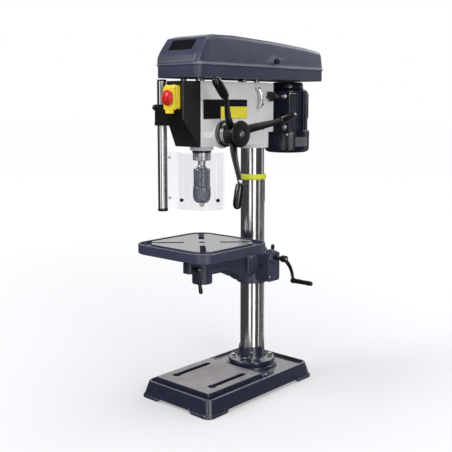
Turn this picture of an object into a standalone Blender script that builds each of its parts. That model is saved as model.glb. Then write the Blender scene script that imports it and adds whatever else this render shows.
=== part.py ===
"""Bench drill press: base, column, rack-raised tilting table, head with quill feed, belt drive and motor.

Every size is in metres, +Z is up and the front of the machine is -Y. Places are given from the column's
axis at floor level, which COLUMN_X and COLUMN_Y set off from the origin.
"""

from math import asin, cos, pi, radians, sin, sqrt

import bmesh
import bpy
from mathutils import Vector

for old in list(bpy.data.objects):
    bpy.data.objects.remove(old, do_unlink=True)

# Facets on round pieces
FINE = 24
ROUND = 20
PLAIN = 16
SMALL = 10
TINY = 8

# Fits
GAP = 0.0003            # clearance between faces that touch
RUN = 0.0004            # clearance around a piece that turns or slides
CUT = 0.002             # how far a cutter runs past the face that it opens

# Column axis from the middle of the machine's footprint
COLUMN_X = -0.0259
COLUMN_Y = 0.0548

# Base casting
BASE_WIDTH = 0.284
BASE_FRONT = -0.352
BASE_REAR = 0.140
BASE_HEIGHT = 0.050     # to the top of its rim
BASE_TAPER = 0.013
BASE_CORNER = 0.022
BASE_WALL = 0.008
BASE_LIP = 0.003        # how far the foot stands proud of the skirt
RIM_WIDTH = 0.006
FLOOR_Z = 0.042
ARCH_HEIGHT = 0.009
ARCH_FRONT_HALF = 0.062
ARCH_SIDE_HALF = 0.161
PAD_HALF = 0.108
PAD_FRONT = -0.318
PAD_REAR = -0.082
PAD_TOP = 0.060
SLOT_X = 0.073
SLOT_WIDTH = 0.018
SLOT_FRONT = -0.277
SLOT_REAR = -0.119
BOLT_DOWN_X = 0.101
BOLT_DOWN_Y = -0.066
BOLT_DOWN_R = 0.0065

# Column, its flange, rack and retaining ring
COLUMN_R = 0.0365
COLUMN_WALL = 0.004
COLUMN_TOP = 0.872
FLANGE_R = 0.0735
FLANGE_THICK = 0.017
BOSS_R = 0.0775
BOSS_TOP = 0.054
COLLAR_R = 0.041
COLLAR_TOP = 0.110
FLANGE_BOLT_R = 0.0055
FLANGE_BOLT_CIRCLE = 0.0585
RACK_WIDTH = 0.014
RACK_DEPTH = 0.009
RACK_TOP = 0.643
RACK_MARGIN = 0.026     # plain stretch at each end
RING_R = 0.0435
RING_HEIGHT = 0.017
TOOTH_PITCH = 0.0062832
TOOTH_DEPTH = 0.0024

# Table bracket, raising gear and crank
SLEEVE_WALL = 0.0115
BRACKET_Z = 0.318
BRACKET_TOP = 0.425
GEARBOX_X = 0.088
GEARBOX_HALF = 0.029
GEARBOX_Z = 0.330
GEARBOX_TOP = 0.420
GEARBOX_WALL = 0.005
LIFT_TEETH = 16
LIFT_Z = 0.378
WORM_Z = 0.405
WORM_R = 0.0095
LIFT_GEAR_HALF = 0.0100
CRANK_X = 0.128
CRANK_DROP = 0.0755
CRANK_REACH = 0.0475
GRIP_LENGTH = 0.066
GRIP_R = 0.0075

# Table arm and table
TILT_Z = 0.385
TILT_R = 0.052
TILT_FACE = -0.0598
TILT_FLANGE = 0.018
ARM_BOSS_R = 0.030
ARM_BOSS_Z = 0.350
STEM_R = 0.016
TABLE_HALF = 0.1485
TABLE_CORNER = 0.055
TABLE_Z = 0.443
TABLE_RIM_TOP = 0.471
TABLE_TOP = 0.472
TABLE_LAND_HALF = 0.122
TABLE_LAND_CLIP = 0.035
TABLE_RIM = 0.007
TABLE_HOLE_R = 0.0115
CHANNEL_DEPTH = 0.010
TABLE_SLOT_WIDTH = 0.017
TABLE_SLOT_INNER = 0.051
TABLE_WALL = 0.008      # skirt round the pockets underneath
TABLE_RIB = 0.007
POCKET_DEPTH = 0.012

# Head casting and front cover
SPINDLE_Y = -0.229
HEAD_HALF = 0.050
HEAD_NOSE = 0.054       # from the spindle to the front of the casting
HEAD_FRONT = SPINDLE_Y - HEAD_NOSE
HEAD_REAR = 0.050
HEAD_Z = 0.755
HEAD_TOP = 0.9405
HEAD_WALL = 0.006
HEAD_SLEEVE_R = 0.049
HEAD_SLEEVE_Z = 0.742
REAR_LUG_Z = 0.791
NOSE_R = 0.034
NOSE_Z = 0.743
COVER_DEPTH = 0.055
COVER_FRONT = HEAD_FRONT - COVER_DEPTH
COVER_HALF = 0.032
COVER_WALL = 0.0025
CHIN_Z = 0.836
CHIN_BACK = 0.050

# Switch
SWITCH_HALF = 0.023
SWITCH_Z = 0.862
SWITCH_TOP = 0.927
SWITCH_DEPTH = 0.014
FLAP_THICK = 0.009
STOP_R = 0.0215
STOP_Z = 0.893
BUTTON_R = 0.0065
START_Z = 0.911

# Chuck guard and its post
POST_X = -0.090
POST_SETBACK = 0.038    # behind the front of the cover
POST_Y = COVER_FRONT + POST_SETBACK
POST_R = 0.014
POST_Z = 0.572
POST_TOP = 0.942
CLAMP_Z = 0.814
CLAMP_TOP = 0.875
CLAMP_R = 0.022
GUARD_R = 0.0725
GUARD_THICK = 0.003
GUARD_Z = 0.575
GUARD_TOP = 0.738
GUARD_FROM = 222.0      # degrees, where the flange meets the curve
GUARD_TO = 380.0
EXTENSION_INSET = 0.004
EXTENSION_SLOTS = (262.0, 352.0)
SHIELD_SLOT_WIDTH = 0.005

# Quill, spindle and chuck
QUILL_R = 0.026
QUILL_Z = 0.714
QUILL_TOP = 0.902
QUILL_BORE = 0.0135
BEARING_R = 0.0203
BEARING_HEIGHT = 0.013
SPINDLE_R = 0.0115
SPINDLE_TOP = 1.052
NOSE_TAPER_R = 0.0092
CHUCK_TOP = 0.6907
CHUCK_R = 0.0245
CHUCK_SPLIT = 0.637
CHUCK_CORE_R = 0.0180
CHUCK_SLEEVE_R = 0.026
CHUCK_NOSE_Z = 0.590
JAW_END = 0.578
JAW_WIDTH = 0.005
JAW_LENGTH = 0.046
JAW_TRAVEL = 0.030      # along its channel
JAW_LEAN = 10.0         # degrees from the spindle's axis
JAW_OFFSET = 0.0044     # middle of a jaw's tip from the axis

# Feed
FEED_SETBACK = 0.035    # from the spindle to the feed shaft
FEED_Y = SPINDLE_Y + FEED_SETBACK
FEED_Z = 0.792
FEED_TEETH = 12
RACK_HALF = 0.0070       # half the width of the quill's rack
FEED_PITCH_R = 0.0125
FEED_SHAFT_R = 0.0136
FEED_END_R = 0.009
FEED_BOSS_R = 0.041
FEED_BOSS_X = 0.056
DIAL_R = 0.0385
DIAL_X = 0.078
HUB_R = 0.031
HUB_X = 0.117
CAP_R = 0.0385
CAP_X = 0.124
ARM_ANGLES = (-44.0, 76.0, 196.0)   # degrees from straight up, towards the column
ARM_ROOT_X = 0.099
ARM_KNEE_X = 0.151
ARM_KNEE_R = 0.140
ARM_END_R = 0.214
ARM_END_X = 0.156
FEED_GRIP_R = 0.013
TRAVEL = 0.075

# Belt housing, pulleys and belts
TRAY_HALF = 0.087
TRAY_SETBACK = 0.004    # behind the front of the cover
TRAY_FRONT = COVER_FRONT + TRAY_SETBACK
TRAY_REAR = 0.264
TRAY_Z = 0.949
SEAM_Z = 0.987
TRAY_CORNER = 0.028
SHEET = 0.002
LIP = 0.004
LID_PEAK = 1.070
LID_REAR_TOP = 1.044
LID_NOSE = 0.044        # how far the front face leans back
LID_EDGE = 0.014
PULLEY_Z = 0.957
STEP = 0.0155
STEPS = 4
SMALL_R = 0.024
STEP_GROWTH = 0.0095
IDLER_Y = -0.040
BELT_THICK = 0.0055
BELT_HEIGHT = 0.010

# Motor and its slide
MOTOR_Y = 0.175
MOTOR_R = 0.067
MOTOR_CORE_R = 0.0615
MOTOR_FINS = 24
MOTOR_Z = 0.787
MOTOR_TOP = 0.916
BELL_R = 0.052
BELL_TOP = 0.9455
FAN_R = 0.0726
FAN_Z = 0.720
PLATE_Y = 0.088
PLATE_THICK = 0.010
PLATE_HALF = 0.076
PLATE_Z = 0.786
PLATE_TOP = 0.917
ROD_X = 0.030
ROD_Z = 0.900
ROD_R = 0.009
ROD_REACH = 0.125
LEVER_Y = -0.043
LEVER_Z = 0.920
KNOB_Y = 0.014
SHAFT_R = 0.007


def material(name, colour, roughness, metallic=0.0, alpha=1.0):
    made = bpy.data.materials.new(name)
    made.use_nodes = True
    shader = made.node_tree.nodes["Principled BSDF"]
    shader.inputs["Base Color"].default_value = (*colour, 1.0)
    shader.inputs["Roughness"].default_value = roughness
    shader.inputs["Metallic"].default_value = metallic
    shader.inputs["Alpha"].default_value = alpha
    return made


BASE_PAINT = material("base_paint", (0.024, 0.028, 0.060), 0.45)
HOUSING_PAINT = material("housing_paint", (0.048, 0.056, 0.092), 0.40)
HEAD_PAINT = material("head_paint", (0.51, 0.51, 0.53), 0.40)
MOTOR_PAINT = material("motor_paint", (0.008, 0.010, 0.020), 0.35)
BLACK_PLASTIC = material("black_plastic", (0.012, 0.012, 0.014), 0.45)
STEEL = material("bright_steel", (0.62, 0.60, 0.62), 0.22, 1.0)
DARK_STEEL = material("dark_steel", (0.12, 0.12, 0.14), 0.35, 1.0)
YELLOW = material("yellow_plastic", (0.86, 0.68, 0.03), 0.40)
RED = material("red_plastic", (0.62, 0.010, 0.008), 0.35)
GREEN = material("green_plastic", (0.02, 0.30, 0.06), 0.40)
RING_YELLOW = material("ring_yellow", (0.70, 0.74, 0.02), 0.50)
CLEAR = material("clear_plastic", (0.92, 0.93, 0.95), 0.05, 0.0, 0.25)
RUBBER = material("belt_rubber", (0.015, 0.015, 0.015), 0.70)

ALONG = {"Z": (0.0, 0.0, 0.0), "X": (0.0, pi / 2, 0.0), "Y": (-pi / 2, 0.0, 0.0)}


def empty(name, at, parent=None):
    """An empty on a joint's axis; its place is kept from the column's axis."""
    made = bpy.data.objects.new(name, None)
    bpy.context.scene.collection.objects.link(made)
    made["place"] = tuple(at)
    made.location = at
    if parent:
        made.parent = parent
        made.location = Vector(at) - Vector(parent["place"])
    return made


def ride(piece, carrier):
    """Parent a piece, whose location is measured from the column's axis, to its carrier."""
    piece.parent = carrier
    piece.location = piece.location - Vector(carrier["place"])
    return piece


def make(name, shape, paint, at=(0, 0, 0), axis="Z"):
    """An object from a bmesh, with its own material and its local Z along the given axis."""
    bmesh.ops.recalc_face_normals(shape, faces=shape.faces)
    mesh = bpy.data.meshes.new(name)
    shape.to_mesh(mesh)
    shape.free()
    made = bpy.data.objects.new(name, mesh)
    bpy.context.scene.collection.objects.link(made)
    made.location = at
    made.rotation_euler = ALONG[axis]
    if paint:
        mesh.materials.append(paint)
    return made


def smooth(piece, angle=35.0):
    piece.data.shade_smooth()
    piece.data.set_sharp_from_angle(angle=radians(angle))
    return piece


def lathe(name, profile, paint, at=(0, 0, 0), axis="Z", steps=ROUND):
    """Turn a closed profile of (radius, height) points; a stretch along the axis makes no face."""
    shape = bmesh.new()
    points = [shape.verts.new((r, 0, z)) for r, z in profile]
    edges = [shape.edges.new((here, after)) for here, after in zip(points, points[1:] + points[:1])
             if here.co.x > 0 or after.co.x > 0]
    bmesh.ops.spin(shape, geom=points + edges, cent=(0, 0, 0), axis=(0, 0, 1),
                   angle=2 * pi, steps=steps, use_merge=True)
    bmesh.ops.remove_doubles(shape, verts=shape.verts, dist=1e-6)
    return smooth(make(name, shape, paint, at, axis))


def loft(name, rings, paint, at=(0, 0, 0), axis="Z"):
    """Skin a row of outlines that have the same number of points, and cap both ends."""
    shape = bmesh.new()
    rows = [[shape.verts.new(point) for point in ring] for ring in rings]
    for low, high in zip(rows, rows[1:]):
        for here in range(len(low)):
            after = (here + 1) % len(low)
            shape.faces.new((low[here], low[after], high[after], high[here]))
    shape.faces.new(rows[0])
    shape.faces.new(rows[-1])
    return make(name, shape, paint, at, axis)


def prism(name, outline, low, high, paint, at=(0, 0, 0), axis="Z"):
    return loft(name, [[(x, y, z) for x, y in outline] for z in (low, high)], paint, at, axis)


def disc(name, radius, low, high, paint=None, at=(0, 0, 0), axis="Z", steps=ROUND):
    return lathe(name, [(0, low), (radius, low), (radius, high), (0, high)], paint, at, axis, steps)


def tube(name, outer, inner, low, high, paint, at=(0, 0, 0), axis="Z", steps=ROUND):
    return lathe(name, [(inner, low), (outer, low), (outer, high), (inner, high)], paint, at, axis, steps)


def block(name, low, high, paint=None):
    """A box between two corners."""
    middle = [(a + b) / 2 for a, b in zip(low, high)]
    half = [(b - a) / 2 for a, b in zip(low, high)]
    corners = [(-half[0], -half[1]), (half[0], -half[1]), (half[0], half[1]), (-half[0], half[1])]
    return prism(name, corners, -half[2], half[2], paint, middle)


def arc(centre, radius, start, end, steps):
    """Points on an arc, with the angles in degrees."""
    angles = [radians(start + (end - start) * i / steps) for i in range(steps + 1)]
    return [(centre[0] + radius * cos(a), centre[1] + radius * sin(a)) for a in angles]


def rounded(low, high, radius, steps=4):
    """A rectangle with round corners, as points going round from its lower left corner."""
    spots = (((low[0] + radius, low[1] + radius), 180), ((high[0] - radius, low[1] + radius), 270),
             ((high[0] - radius, high[1] - radius), 0), ((low[0] + radius, high[1] - radius), 90))
    return [point for spot, turn in spots for point in arc(spot, radius, turn, turn + 90, steps)]


def stadium(low, high, half):
    """A slot's outline along Y with round ends, from its lowest to its highest point."""
    return (arc((0, low + half), half, 180, 360, 5) + arc((0, high - half), half, 0, 180, 5))


def toothed(teeth, pitch_r, stub=0.0009, depth=0.0024):
    """A pinion's outline: stub teeth that run with wide backlash."""
    outline = []
    pitch = 2 * pi / teeth
    for tooth in range(teeth):
        for share, radius in ((-0.19, pitch_r + stub - depth), (-0.11, pitch_r + stub),
                              (0.11, pitch_r + stub), (0.19, pitch_r + stub - depth)):
            angle = pitch * (tooth + share)
            outline.append((radius * cos(angle), radius * sin(angle)))
    return outline


def boolean(piece, tools, operation):
    """Cut a piece by all the tools in one step, or join them all to it."""
    group = bpy.data.collections.new(piece.name + "_" + operation.lower())
    bpy.context.scene.collection.children.link(group)
    for tool in tools:
        bpy.context.scene.collection.objects.unlink(tool)
        group.objects.link(tool)
        tool.hide_render = True
        tool.display_type = "WIRE"
        if piece.parent and not tool.parent:
            ride(tool, piece.parent)
    step = piece.modifiers.new(group.name, "BOOLEAN")
    step.operation = operation
    step.operand_type = "COLLECTION"
    step.collection = group
    step.solver = "EXACT"


def subtract(piece, *tools):
    boolean(piece, tools, "DIFFERENCE")


def join(piece, *tools):
    boolean(piece, tools, "UNION")


ROOT = empty("column_axis", (0, 0, 0))
ROOT.location = (COLUMN_X, COLUMN_Y, 0)
RACK_SWING = empty("rack_swing_axis", (0, 0, 0), ROOT)
TABLE_LIFT = empty("table_lift_axis", (COLUMN_R, 0, LIFT_Z), RACK_SWING)
LIFT_AXIS = empty("lift_gear_axis", (COLUMN_R + GAP + RACK_DEPTH - TOOTH_DEPTH / 2
                                     + TOOTH_PITCH * LIFT_TEETH / (2 * pi), 0, LIFT_Z), TABLE_LIFT)
CRANK_AXIS = empty("crank_axis", (CRANK_X, 0, WORM_Z), TABLE_LIFT)
CRANK_GRIP_AXIS = empty("crank_grip_axis", (CRANK_X, CRANK_REACH, WORM_Z - CRANK_DROP), CRANK_AXIS)
BRACKET_LOCK = empty("bracket_lock_axis", (0.030, 0.064, 0.372), TABLE_LIFT)
TABLE_TILT = empty("table_tilt_axis", (0, TILT_FACE, TILT_Z), TABLE_LIFT)
TABLE_SPIN = empty("table_spin_axis", (0, SPINDLE_Y, TABLE_Z), TABLE_TILT)
TABLE_LOCK = empty("table_lock_axis", (0.034, SPINDLE_Y - 0.054, 0.403), TABLE_TILT)
QUILL_AXIS = empty("quill_axis", (0, SPINDLE_Y, QUILL_Z), ROOT)
SPINDLE_AXIS = empty("spindle_axis", (0, SPINDLE_Y, CHUCK_TOP), QUILL_AXIS)
CHUCK_AXIS = empty("chuck_axis", (0, SPINDLE_Y, CHUCK_SPLIT), SPINDLE_AXIS)
FEED_AXIS = empty("feed_axis", (HEAD_HALF, FEED_Y, FEED_Z), ROOT)
DIAL_AXIS = empty("dial_axis", (FEED_BOSS_X, FEED_Y, FEED_Z), ROOT)
POST_HEIGHT = empty("post_height_axis", (POST_X, POST_Y, POST_Z), ROOT)
GUARD_SWING = empty("guard_swing_axis", (POST_X, POST_Y, GUARD_Z), POST_HEIGHT)
EXTENSION_SLIDE = empty("extension_slide_axis", (0, SPINDLE_Y, GUARD_Z), GUARD_SWING)
POST_LOCK = empty("post_lock_axis", (POST_X - CLAMP_R, POST_Y, 0.866), ROOT)
FLAP_AXIS = empty("flap_axis", (0, COVER_FRONT - SWITCH_DEPTH - 0.001, SWITCH_TOP + 0.0005), ROOT)
STOP_AXIS = empty("stop_axis", (0, COVER_FRONT - SWITCH_DEPTH - FLAP_THICK, STOP_Z), FLAP_AXIS)
LID_AXIS = empty("lid_axis", (-TRAY_HALF - LIP, 0, SEAM_Z), ROOT)
LID_KNOB_AXIS = empty("lid_knob_axis", (TRAY_HALF, 0.004, 1.004), LID_AXIS)
MOTOR_SLIDE = empty("motor_slide_axis", (0, PLATE_Y, ROD_Z), ROOT)
MOTOR_AXIS = empty("motor_axis", (0, MOTOR_Y, MOTOR_TOP), MOTOR_SLIDE)
TENSION_AXIS = empty("tension_axis", (HEAD_HALF, LEVER_Y, LEVER_Z), ROOT)
SLIDE_LOCK = empty("slide_lock_axis", (HEAD_HALF, KNOB_Y, ROD_Z), ROOT)
SPINDLE_PULLEY_AXIS = empty("spindle_pulley_axis", (0, SPINDLE_Y, PULLEY_Z), ROOT)
IDLER_AXIS = empty("idler_axis", (0, IDLER_Y, PULLEY_Z), ROOT)


def base_casting():
    """Hollow casting with corner feet, a rimmed floor, a slotted pad and a boss for the column."""
    middle_y = (BASE_FRONT + BASE_REAR) / 2
    half = (BASE_WIDTH / 2, (BASE_REAR - BASE_FRONT) / 2)

    def outline(inset, z, radius=BASE_CORNER):
        low = (-half[0] + inset, middle_y - half[1] + inset)
        high = (half[0] - inset, middle_y + half[1] - inset)
        return [(x, y, z) for x, y in rounded(low, high, radius)]

    lip_z = 0.009
    base = ride(loft("base", [outline(0, 0), outline(0, lip_z - 0.002), outline(BASE_LIP, lip_z),
                              outline(BASE_TAPER, BASE_HEIGHT)], BASE_PAINT), ROOT)
    rim = BASE_TAPER + RIM_WIDTH
    subtract(base, loft("base_floor", [outline(rim, FLOOR_Z, BASE_CORNER - RIM_WIDTH),
                                       outline(rim - 0.001, BASE_HEIGHT + CUT, BASE_CORNER - RIM_WIDTH)],
                                       None))
    pad = rounded((-PAD_HALF, PAD_FRONT), (PAD_HALF, PAD_REAR), 0.006, 2)
    cavity_z = FLOOR_Z - 0.008
    raised = [prism("base_pad", pad, FLOOR_Z - 0.004, PAD_TOP, None),
              disc("base_boss", BOSS_R, FLOOR_Z - 0.004, BOSS_TOP, steps=FINE)]
    cuts = [loft("base_cavity", [outline(BASE_WALL, -CUT, BASE_CORNER - BASE_WALL),
                                 outline(BASE_TAPER + BASE_WALL, cavity_z, BASE_CORNER - BASE_WALL)], None),
            block("arch_front", (-ARCH_FRONT_HALF, BASE_FRONT - CUT, -CUT),
                  (ARCH_FRONT_HALF, BASE_REAR + CUT, ARCH_HEIGHT)),
            block("arch_side", (-BASE_WIDTH, middle_y - ARCH_SIDE_HALF, -CUT - 0.001),
                  (BASE_WIDTH, middle_y + ARCH_SIDE_HALF, ARCH_HEIGHT + 0.0002))]
    for side in (-1, 1):
        spot = (side * BOLT_DOWN_X, BOLT_DOWN_Y, 0)
        raised.append(disc("bolt_down_boss", 0.014, FLOOR_Z - 0.004, FLOOR_Z + 0.010, at=spot, steps=PLAIN))
        cuts.append(disc("bolt_down_hole", BOLT_DOWN_R, 0.010, FLOOR_Z + 0.010 + CUT, at=spot, steps=SMALL))
        cuts.append(prism("base_slot", stadium(SLOT_FRONT, SLOT_REAR, SLOT_WIDTH / 2), 0.010,
                          PAD_TOP + CUT, None,
                          (side * SLOT_X, 0, 0)))
    for index in range(4):
        cuts.append(flange_hole("base_bolt_hole", index, 0.020, BOSS_TOP + CUT))
    join(base, *raised)
    subtract(base, *cuts)


def flange_hole(name, index, low, high):
    angle = radians(45 + 90 * index)
    spot = (FLANGE_BOLT_CIRCLE * cos(angle), FLANGE_BOLT_CIRCLE * sin(angle), 0)
    return disc(name, FLANGE_BOLT_R, low, high, at=spot, steps=TINY)


def column_parts():
    """Flange with its collar, the tube, the rack beside it and the ring that holds the rack's top."""
    low = BOSS_TOP + GAP
    top = low + FLANGE_THICK
    bore = COLUMN_R + GAP
    seat = low + 0.004
    flange = ride(lathe("column_flange", [(COLUMN_R - 0.010, low), (FLANGE_R, low), (FLANGE_R, top - 0.002),
                                          (FLANGE_R - 0.002, top), (COLLAR_R + 0.005, top),
                                          (COLLAR_R, top + 0.005),
                                          (COLLAR_R, COLLAR_TOP - 0.002), (COLLAR_R - 0.002, COLLAR_TOP),
                                          (bore, COLLAR_TOP), (bore, seat), (COLUMN_R - 0.010, seat)],
                        BASE_PAINT, steps=FINE), ROOT)
    subtract(flange, *(flange_hole("flange_bolt_hole", index, low - CUT, top + CUT) for index in range(4)))
    ride(tube("column_tube", COLUMN_R, COLUMN_R - COLUMN_WALL, seat + GAP, COLUMN_TOP, STEEL, steps=FINE),
         ROOT)

    rack_low = COLLAR_TOP + GAP
    face = COLUMN_R + GAP + RACK_DEPTH
    outline = [(COLUMN_R + GAP, rack_low), (face, rack_low)]
    first = LIFT_Z - TOOTH_PITCH * int((LIFT_Z - rack_low - RACK_MARGIN) / TOOTH_PITCH)
    last = int((RACK_TOP - RACK_MARGIN * 2.6 - first) / TOOTH_PITCH)
    for tooth in range(last + 1):
        space = first + tooth * TOOTH_PITCH
        outline += [(face, space - 0.0023), (face - TOOTH_DEPTH, space - 0.0018),
                    (face - TOOTH_DEPTH, space + 0.0018), (face, space + 0.0023)]
    outline += [(face, RACK_TOP), (COLUMN_R + GAP, RACK_TOP)]
    shape = [[(x, y, z) for x, z in outline] for y in (-RACK_WIDTH / 2, RACK_WIDTH / 2)]
    ride(loft("column_rack", shape, STEEL), RACK_SWING)
    ride(tube("rack_ring", RING_R, COLUMN_R + GAP, RACK_TOP + GAP, RACK_TOP + GAP + RING_HEIGHT,
              RING_YELLOW, steps=FINE), ROOT)


def table_bracket():
    """Split sleeve on the column with the gearbox, the tilt boss and the clamp lugs."""
    outer = COLUMN_R + SLEEVE_WALL
    bracket = ride(disc("table_bracket", outer, BRACKET_Z, BRACKET_TOP, HOUSING_PAINT, steps=FINE),
                   TABLE_LIFT)
    box_side = rounded((-GEARBOX_HALF, GEARBOX_Z), (GEARBOX_HALF, GEARBOX_TOP), 0.008, 3)
    gearbox = prism("gearbox", [(-z, y) for y, z in box_side], COLUMN_R, GEARBOX_X, None, axis="X")
    lugs = block("bracket_lugs", (-0.014, outer - 0.008, 0.345), (0.014, 0.077, 0.399))
    join(bracket, gearbox, disc("worm_boss", 0.019, GEARBOX_X - 0.01, GEARBOX_X + 0.006, at=(0, 0, WORM_Z),
                                axis="X"),
         disc("tilt_boss", TILT_R - 0.002, TILT_FACE + GAP, -0.030, at=(0, 0, TILT_Z), axis="Y"), lugs)
    gear_x = LIFT_AXIS["place"][0]
    rack_half = RACK_WIDTH / 2 + RUN * 2
    chamber_x = COLUMN_R + GAP + RACK_DEPTH + 0.0012
    subtract(bracket, disc("bracket_bore", COLUMN_R + RUN, BRACKET_Z - CUT, 0.45, steps=FINE),
             block("rack_channel", (0.02, -rack_half, BRACKET_Z - CUT),
                   (COLUMN_R + GAP + RACK_DEPTH + RUN, rack_half, BRACKET_TOP + CUT + 0.02)),
             block("gear_chamber", (chamber_x - 0.004, -GEARBOX_HALF + GEARBOX_WALL, LIFT_Z - 0.019),
                   (GEARBOX_X - 0.0015, GEARBOX_HALF - GEARBOX_WALL, WORM_Z + WORM_R + 0.001)),
             disc("gear_axle_bore", 0.0045 + RUN, -GEARBOX_HALF - CUT, GEARBOX_HALF + CUT,
                  at=(gear_x, 0, LIFT_Z), axis="Y", steps=SMALL),
             disc("worm_bore", 0.006 + RUN, GEARBOX_X - 0.012, GEARBOX_X + 0.02, at=(0, 0, WORM_Z),
                  axis="X", steps=SMALL),
             block("bracket_split", (-0.0012, COLUMN_R - 0.004, BRACKET_Z - CUT),
                   (0.0012, 0.09, BRACKET_TOP + CUT)),
             disc("bracket_lock_bore", 0.004 + RUN, -0.03, 0.03, at=(0, 0.064, 0.372), axis="X",
                  steps=SMALL),
             disc("tilt_bolt_bore", 0.008 + RUN, TILT_FACE - CUT, -COLUMN_R + 0.004, at=(0, 0, TILT_Z),
                  axis="Y",
                  steps=SMALL))


def lift_gears():
    """The gear that climbs the rack, on its axle, and the worm on the crank's shaft that drives it."""
    gear_x = LIFT_AXIS["place"][0]
    pitch_r = TOOTH_PITCH * LIFT_TEETH / (2 * pi)
    gear = ride(prism("lift_gear", toothed(LIFT_TEETH, pitch_r), -LIFT_GEAR_HALF, LIFT_GEAR_HALF,
                      DARK_STEEL,
                      (gear_x, 0, LIFT_Z), "Y"), LIFT_AXIS)
    join(gear, disc("lift_axle", 0.0045, -GEARBOX_HALF, GEARBOX_HALF, at=(gear_x, 0, LIFT_Z), axis="Y",
                    steps=SMALL))
    worm_low = COLUMN_R + RACK_DEPTH + 0.004
    ride(lathe("worm_shaft", [(0, worm_low), (0.006, worm_low), (0.006, worm_low + 0.002),
                              (WORM_R, worm_low + 0.003), (WORM_R, GEARBOX_X - 0.014),
                              (0.006, GEARBOX_X - 0.0128), (0.006, CRANK_X - 0.009 - GAP),
                              (0, CRANK_X - 0.009 - GAP)], DARK_STEEL, (0, 0, WORM_Z), "X", SMALL),
                              CRANK_AXIS)


def crank():
    """Curved crank arm with the pin that its grip turns on."""
    arm = ride(disc("crank_arm", 0.0105, CRANK_X - 0.009, CRANK_X + 0.009, BLACK_PLASTIC, (0, 0, WORM_Z),
                    "X", SMALL),
               CRANK_AXIS)
    path = []
    for share in (0.0, 0.2, 0.4, 0.6, 0.8, 1.0):
        bow = 0.010 * sin(pi * share)
        path.append((CRANK_REACH * share + bow * 0.85, -CRANK_DROP * share + bow * 0.53))
    left = []
    right = []
    for here in range(len(path)):
        before = path[max(here - 1, 0)]
        after = path[min(here + 1, len(path) - 1)]
        run = Vector((after[0] - before[0], after[1] - before[1])).normalized()
        left.append((path[here][0] - run.y * 0.006, path[here][1] + run.x * 0.006))
        right.append((path[here][0] + run.y * 0.006, path[here][1] - run.x * 0.006))
    outline = left + right[::-1]
    rings = [[(x, y, WORM_Z + z) for y, z in outline] for x in (CRANK_X - 0.004, CRANK_X + 0.004)]
    end = (0, CRANK_REACH, WORM_Z - CRANK_DROP)
    join(arm, loft("crank_web", rings, None), disc("crank_end", 0.0085, CRANK_X - 0.005, CRANK_X + 0.006,
                                                   at=end, axis="X", steps=SMALL),
         disc("crank_pin", 0.003, CRANK_X, CRANK_X + 0.006 + GRIP_LENGTH - 0.004, at=end, axis="X",
              steps=TINY))
    low = CRANK_X + 0.006 + GAP
    high = low + GRIP_LENGTH
    ride(lathe("crank_grip", [(0.003 + RUN, low), (GRIP_R - 0.001, low), (GRIP_R, low + 0.002),
                              (GRIP_R, high - 0.003),
                              (GRIP_R - 0.0015, high), (0, high), (0, high - 0.003),
                              (0.003 + RUN, high - 0.003)],
               BLACK_PLASTIC, end, "X", SMALL), CRANK_GRIP_AXIS)


def clamp_lever(name, pivot, screw_low, screw_high, drop, lean, carrier):
    """A clamp screw along X with its lever; drop is the lever's height, negative when it hangs."""
    lever = ride(disc(name, 0.004, screw_low, screw_high, BLACK_PLASTIC, (0, pivot[1], pivot[2]), "X",
                      TINY), carrier)
    hub = disc(name + "_hub", 0.008, pivot[0] - 0.007, pivot[0] + 0.007, at=(0, pivot[1], pivot[2]),
               axis="X", steps=SMALL)
    rings = []
    for share, radius in ((0.0, 0.0042), (0.60, 0.0050), (0.94, 0.0062), (1.0, 0.0040)):
        middle = (pivot[0], pivot[1] + lean * share, pivot[2] + drop * share)
        rings.append([(middle[0] + x, middle[1] + y, middle[2]) for x,
                      y in arc((0, 0), radius, 0, 330, 11)])
    join(lever, hub, loft(name + "_rod", rings, None))


def table_arm():
    """Arm that tilts on the bracket's face and clamps the table's stem."""
    face = TILT_FACE
    arm = ride(disc("table_arm", TILT_R, face - TILT_FLANGE, face, HOUSING_PAINT, (0, 0, TILT_Z), "Y",
                    FINE), TABLE_TILT)
    near = face - TILT_FLANGE + 0.002
    beam = []
    for y, half, low, high in ((near, 0.036, 0.348, 0.434), (-0.120, 0.030, 0.366, 0.436),
                               (-0.150, 0.027, 0.378, 0.436), (SPINDLE_Y, 0.026, 0.376, 0.436)):
        beam.append([(x, y, z) for x, z in rounded((-half, low), (half, high), 0.010, 2)])
    join(arm, loft("arm_beam", beam, None),
         disc("arm_boss", ARM_BOSS_R, ARM_BOSS_Z, TABLE_Z - GAP, at=(0, SPINDLE_Y, 0), steps=ROUND),
         block("arm_lugs", (-0.016, SPINDLE_Y - 0.068, 0.388), (0.016, SPINDLE_Y - 0.022, 0.418)))
    subtract(arm, disc("stem_bore", STEM_R + RUN, ARM_BOSS_Z - CUT, 0.46, at=(0, SPINDLE_Y, 0),
                       steps=ROUND),
             block("arm_split", (-0.0015, SPINDLE_Y - 0.08, ARM_BOSS_Z - CUT),
                   (0.0015, SPINDLE_Y - 0.010, 0.46)),
             disc("table_lock_bore", 0.004 + RUN, -0.03, 0.03, at=(0, SPINDLE_Y - 0.054, 0.403), axis="X",
                  steps=SMALL),
             block("bolt_pocket", (-0.018, near - 0.034, 0.30), (0.018, near - 0.004, TILT_Z + 0.018)),
             disc("arm_bolt_bore", 0.008 + RUN, near - 0.01, face + CUT, at=(0, 0, TILT_Z), axis="Y",
                  steps=SMALL))
    head_y = near - 0.0045
    ride(lathe("tilt_bolt", [(0, head_y - 0.010), (0.0125, head_y - 0.010), (0.0125, head_y),
                             (0.008, head_y),
                                    (0.008, -COLUMN_R - 0.001), (0, -COLUMN_R - 0.001)], DARK_STEEL,
                      (0, 0, TILT_Z), "Y", SMALL), TABLE_LIFT)


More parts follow.
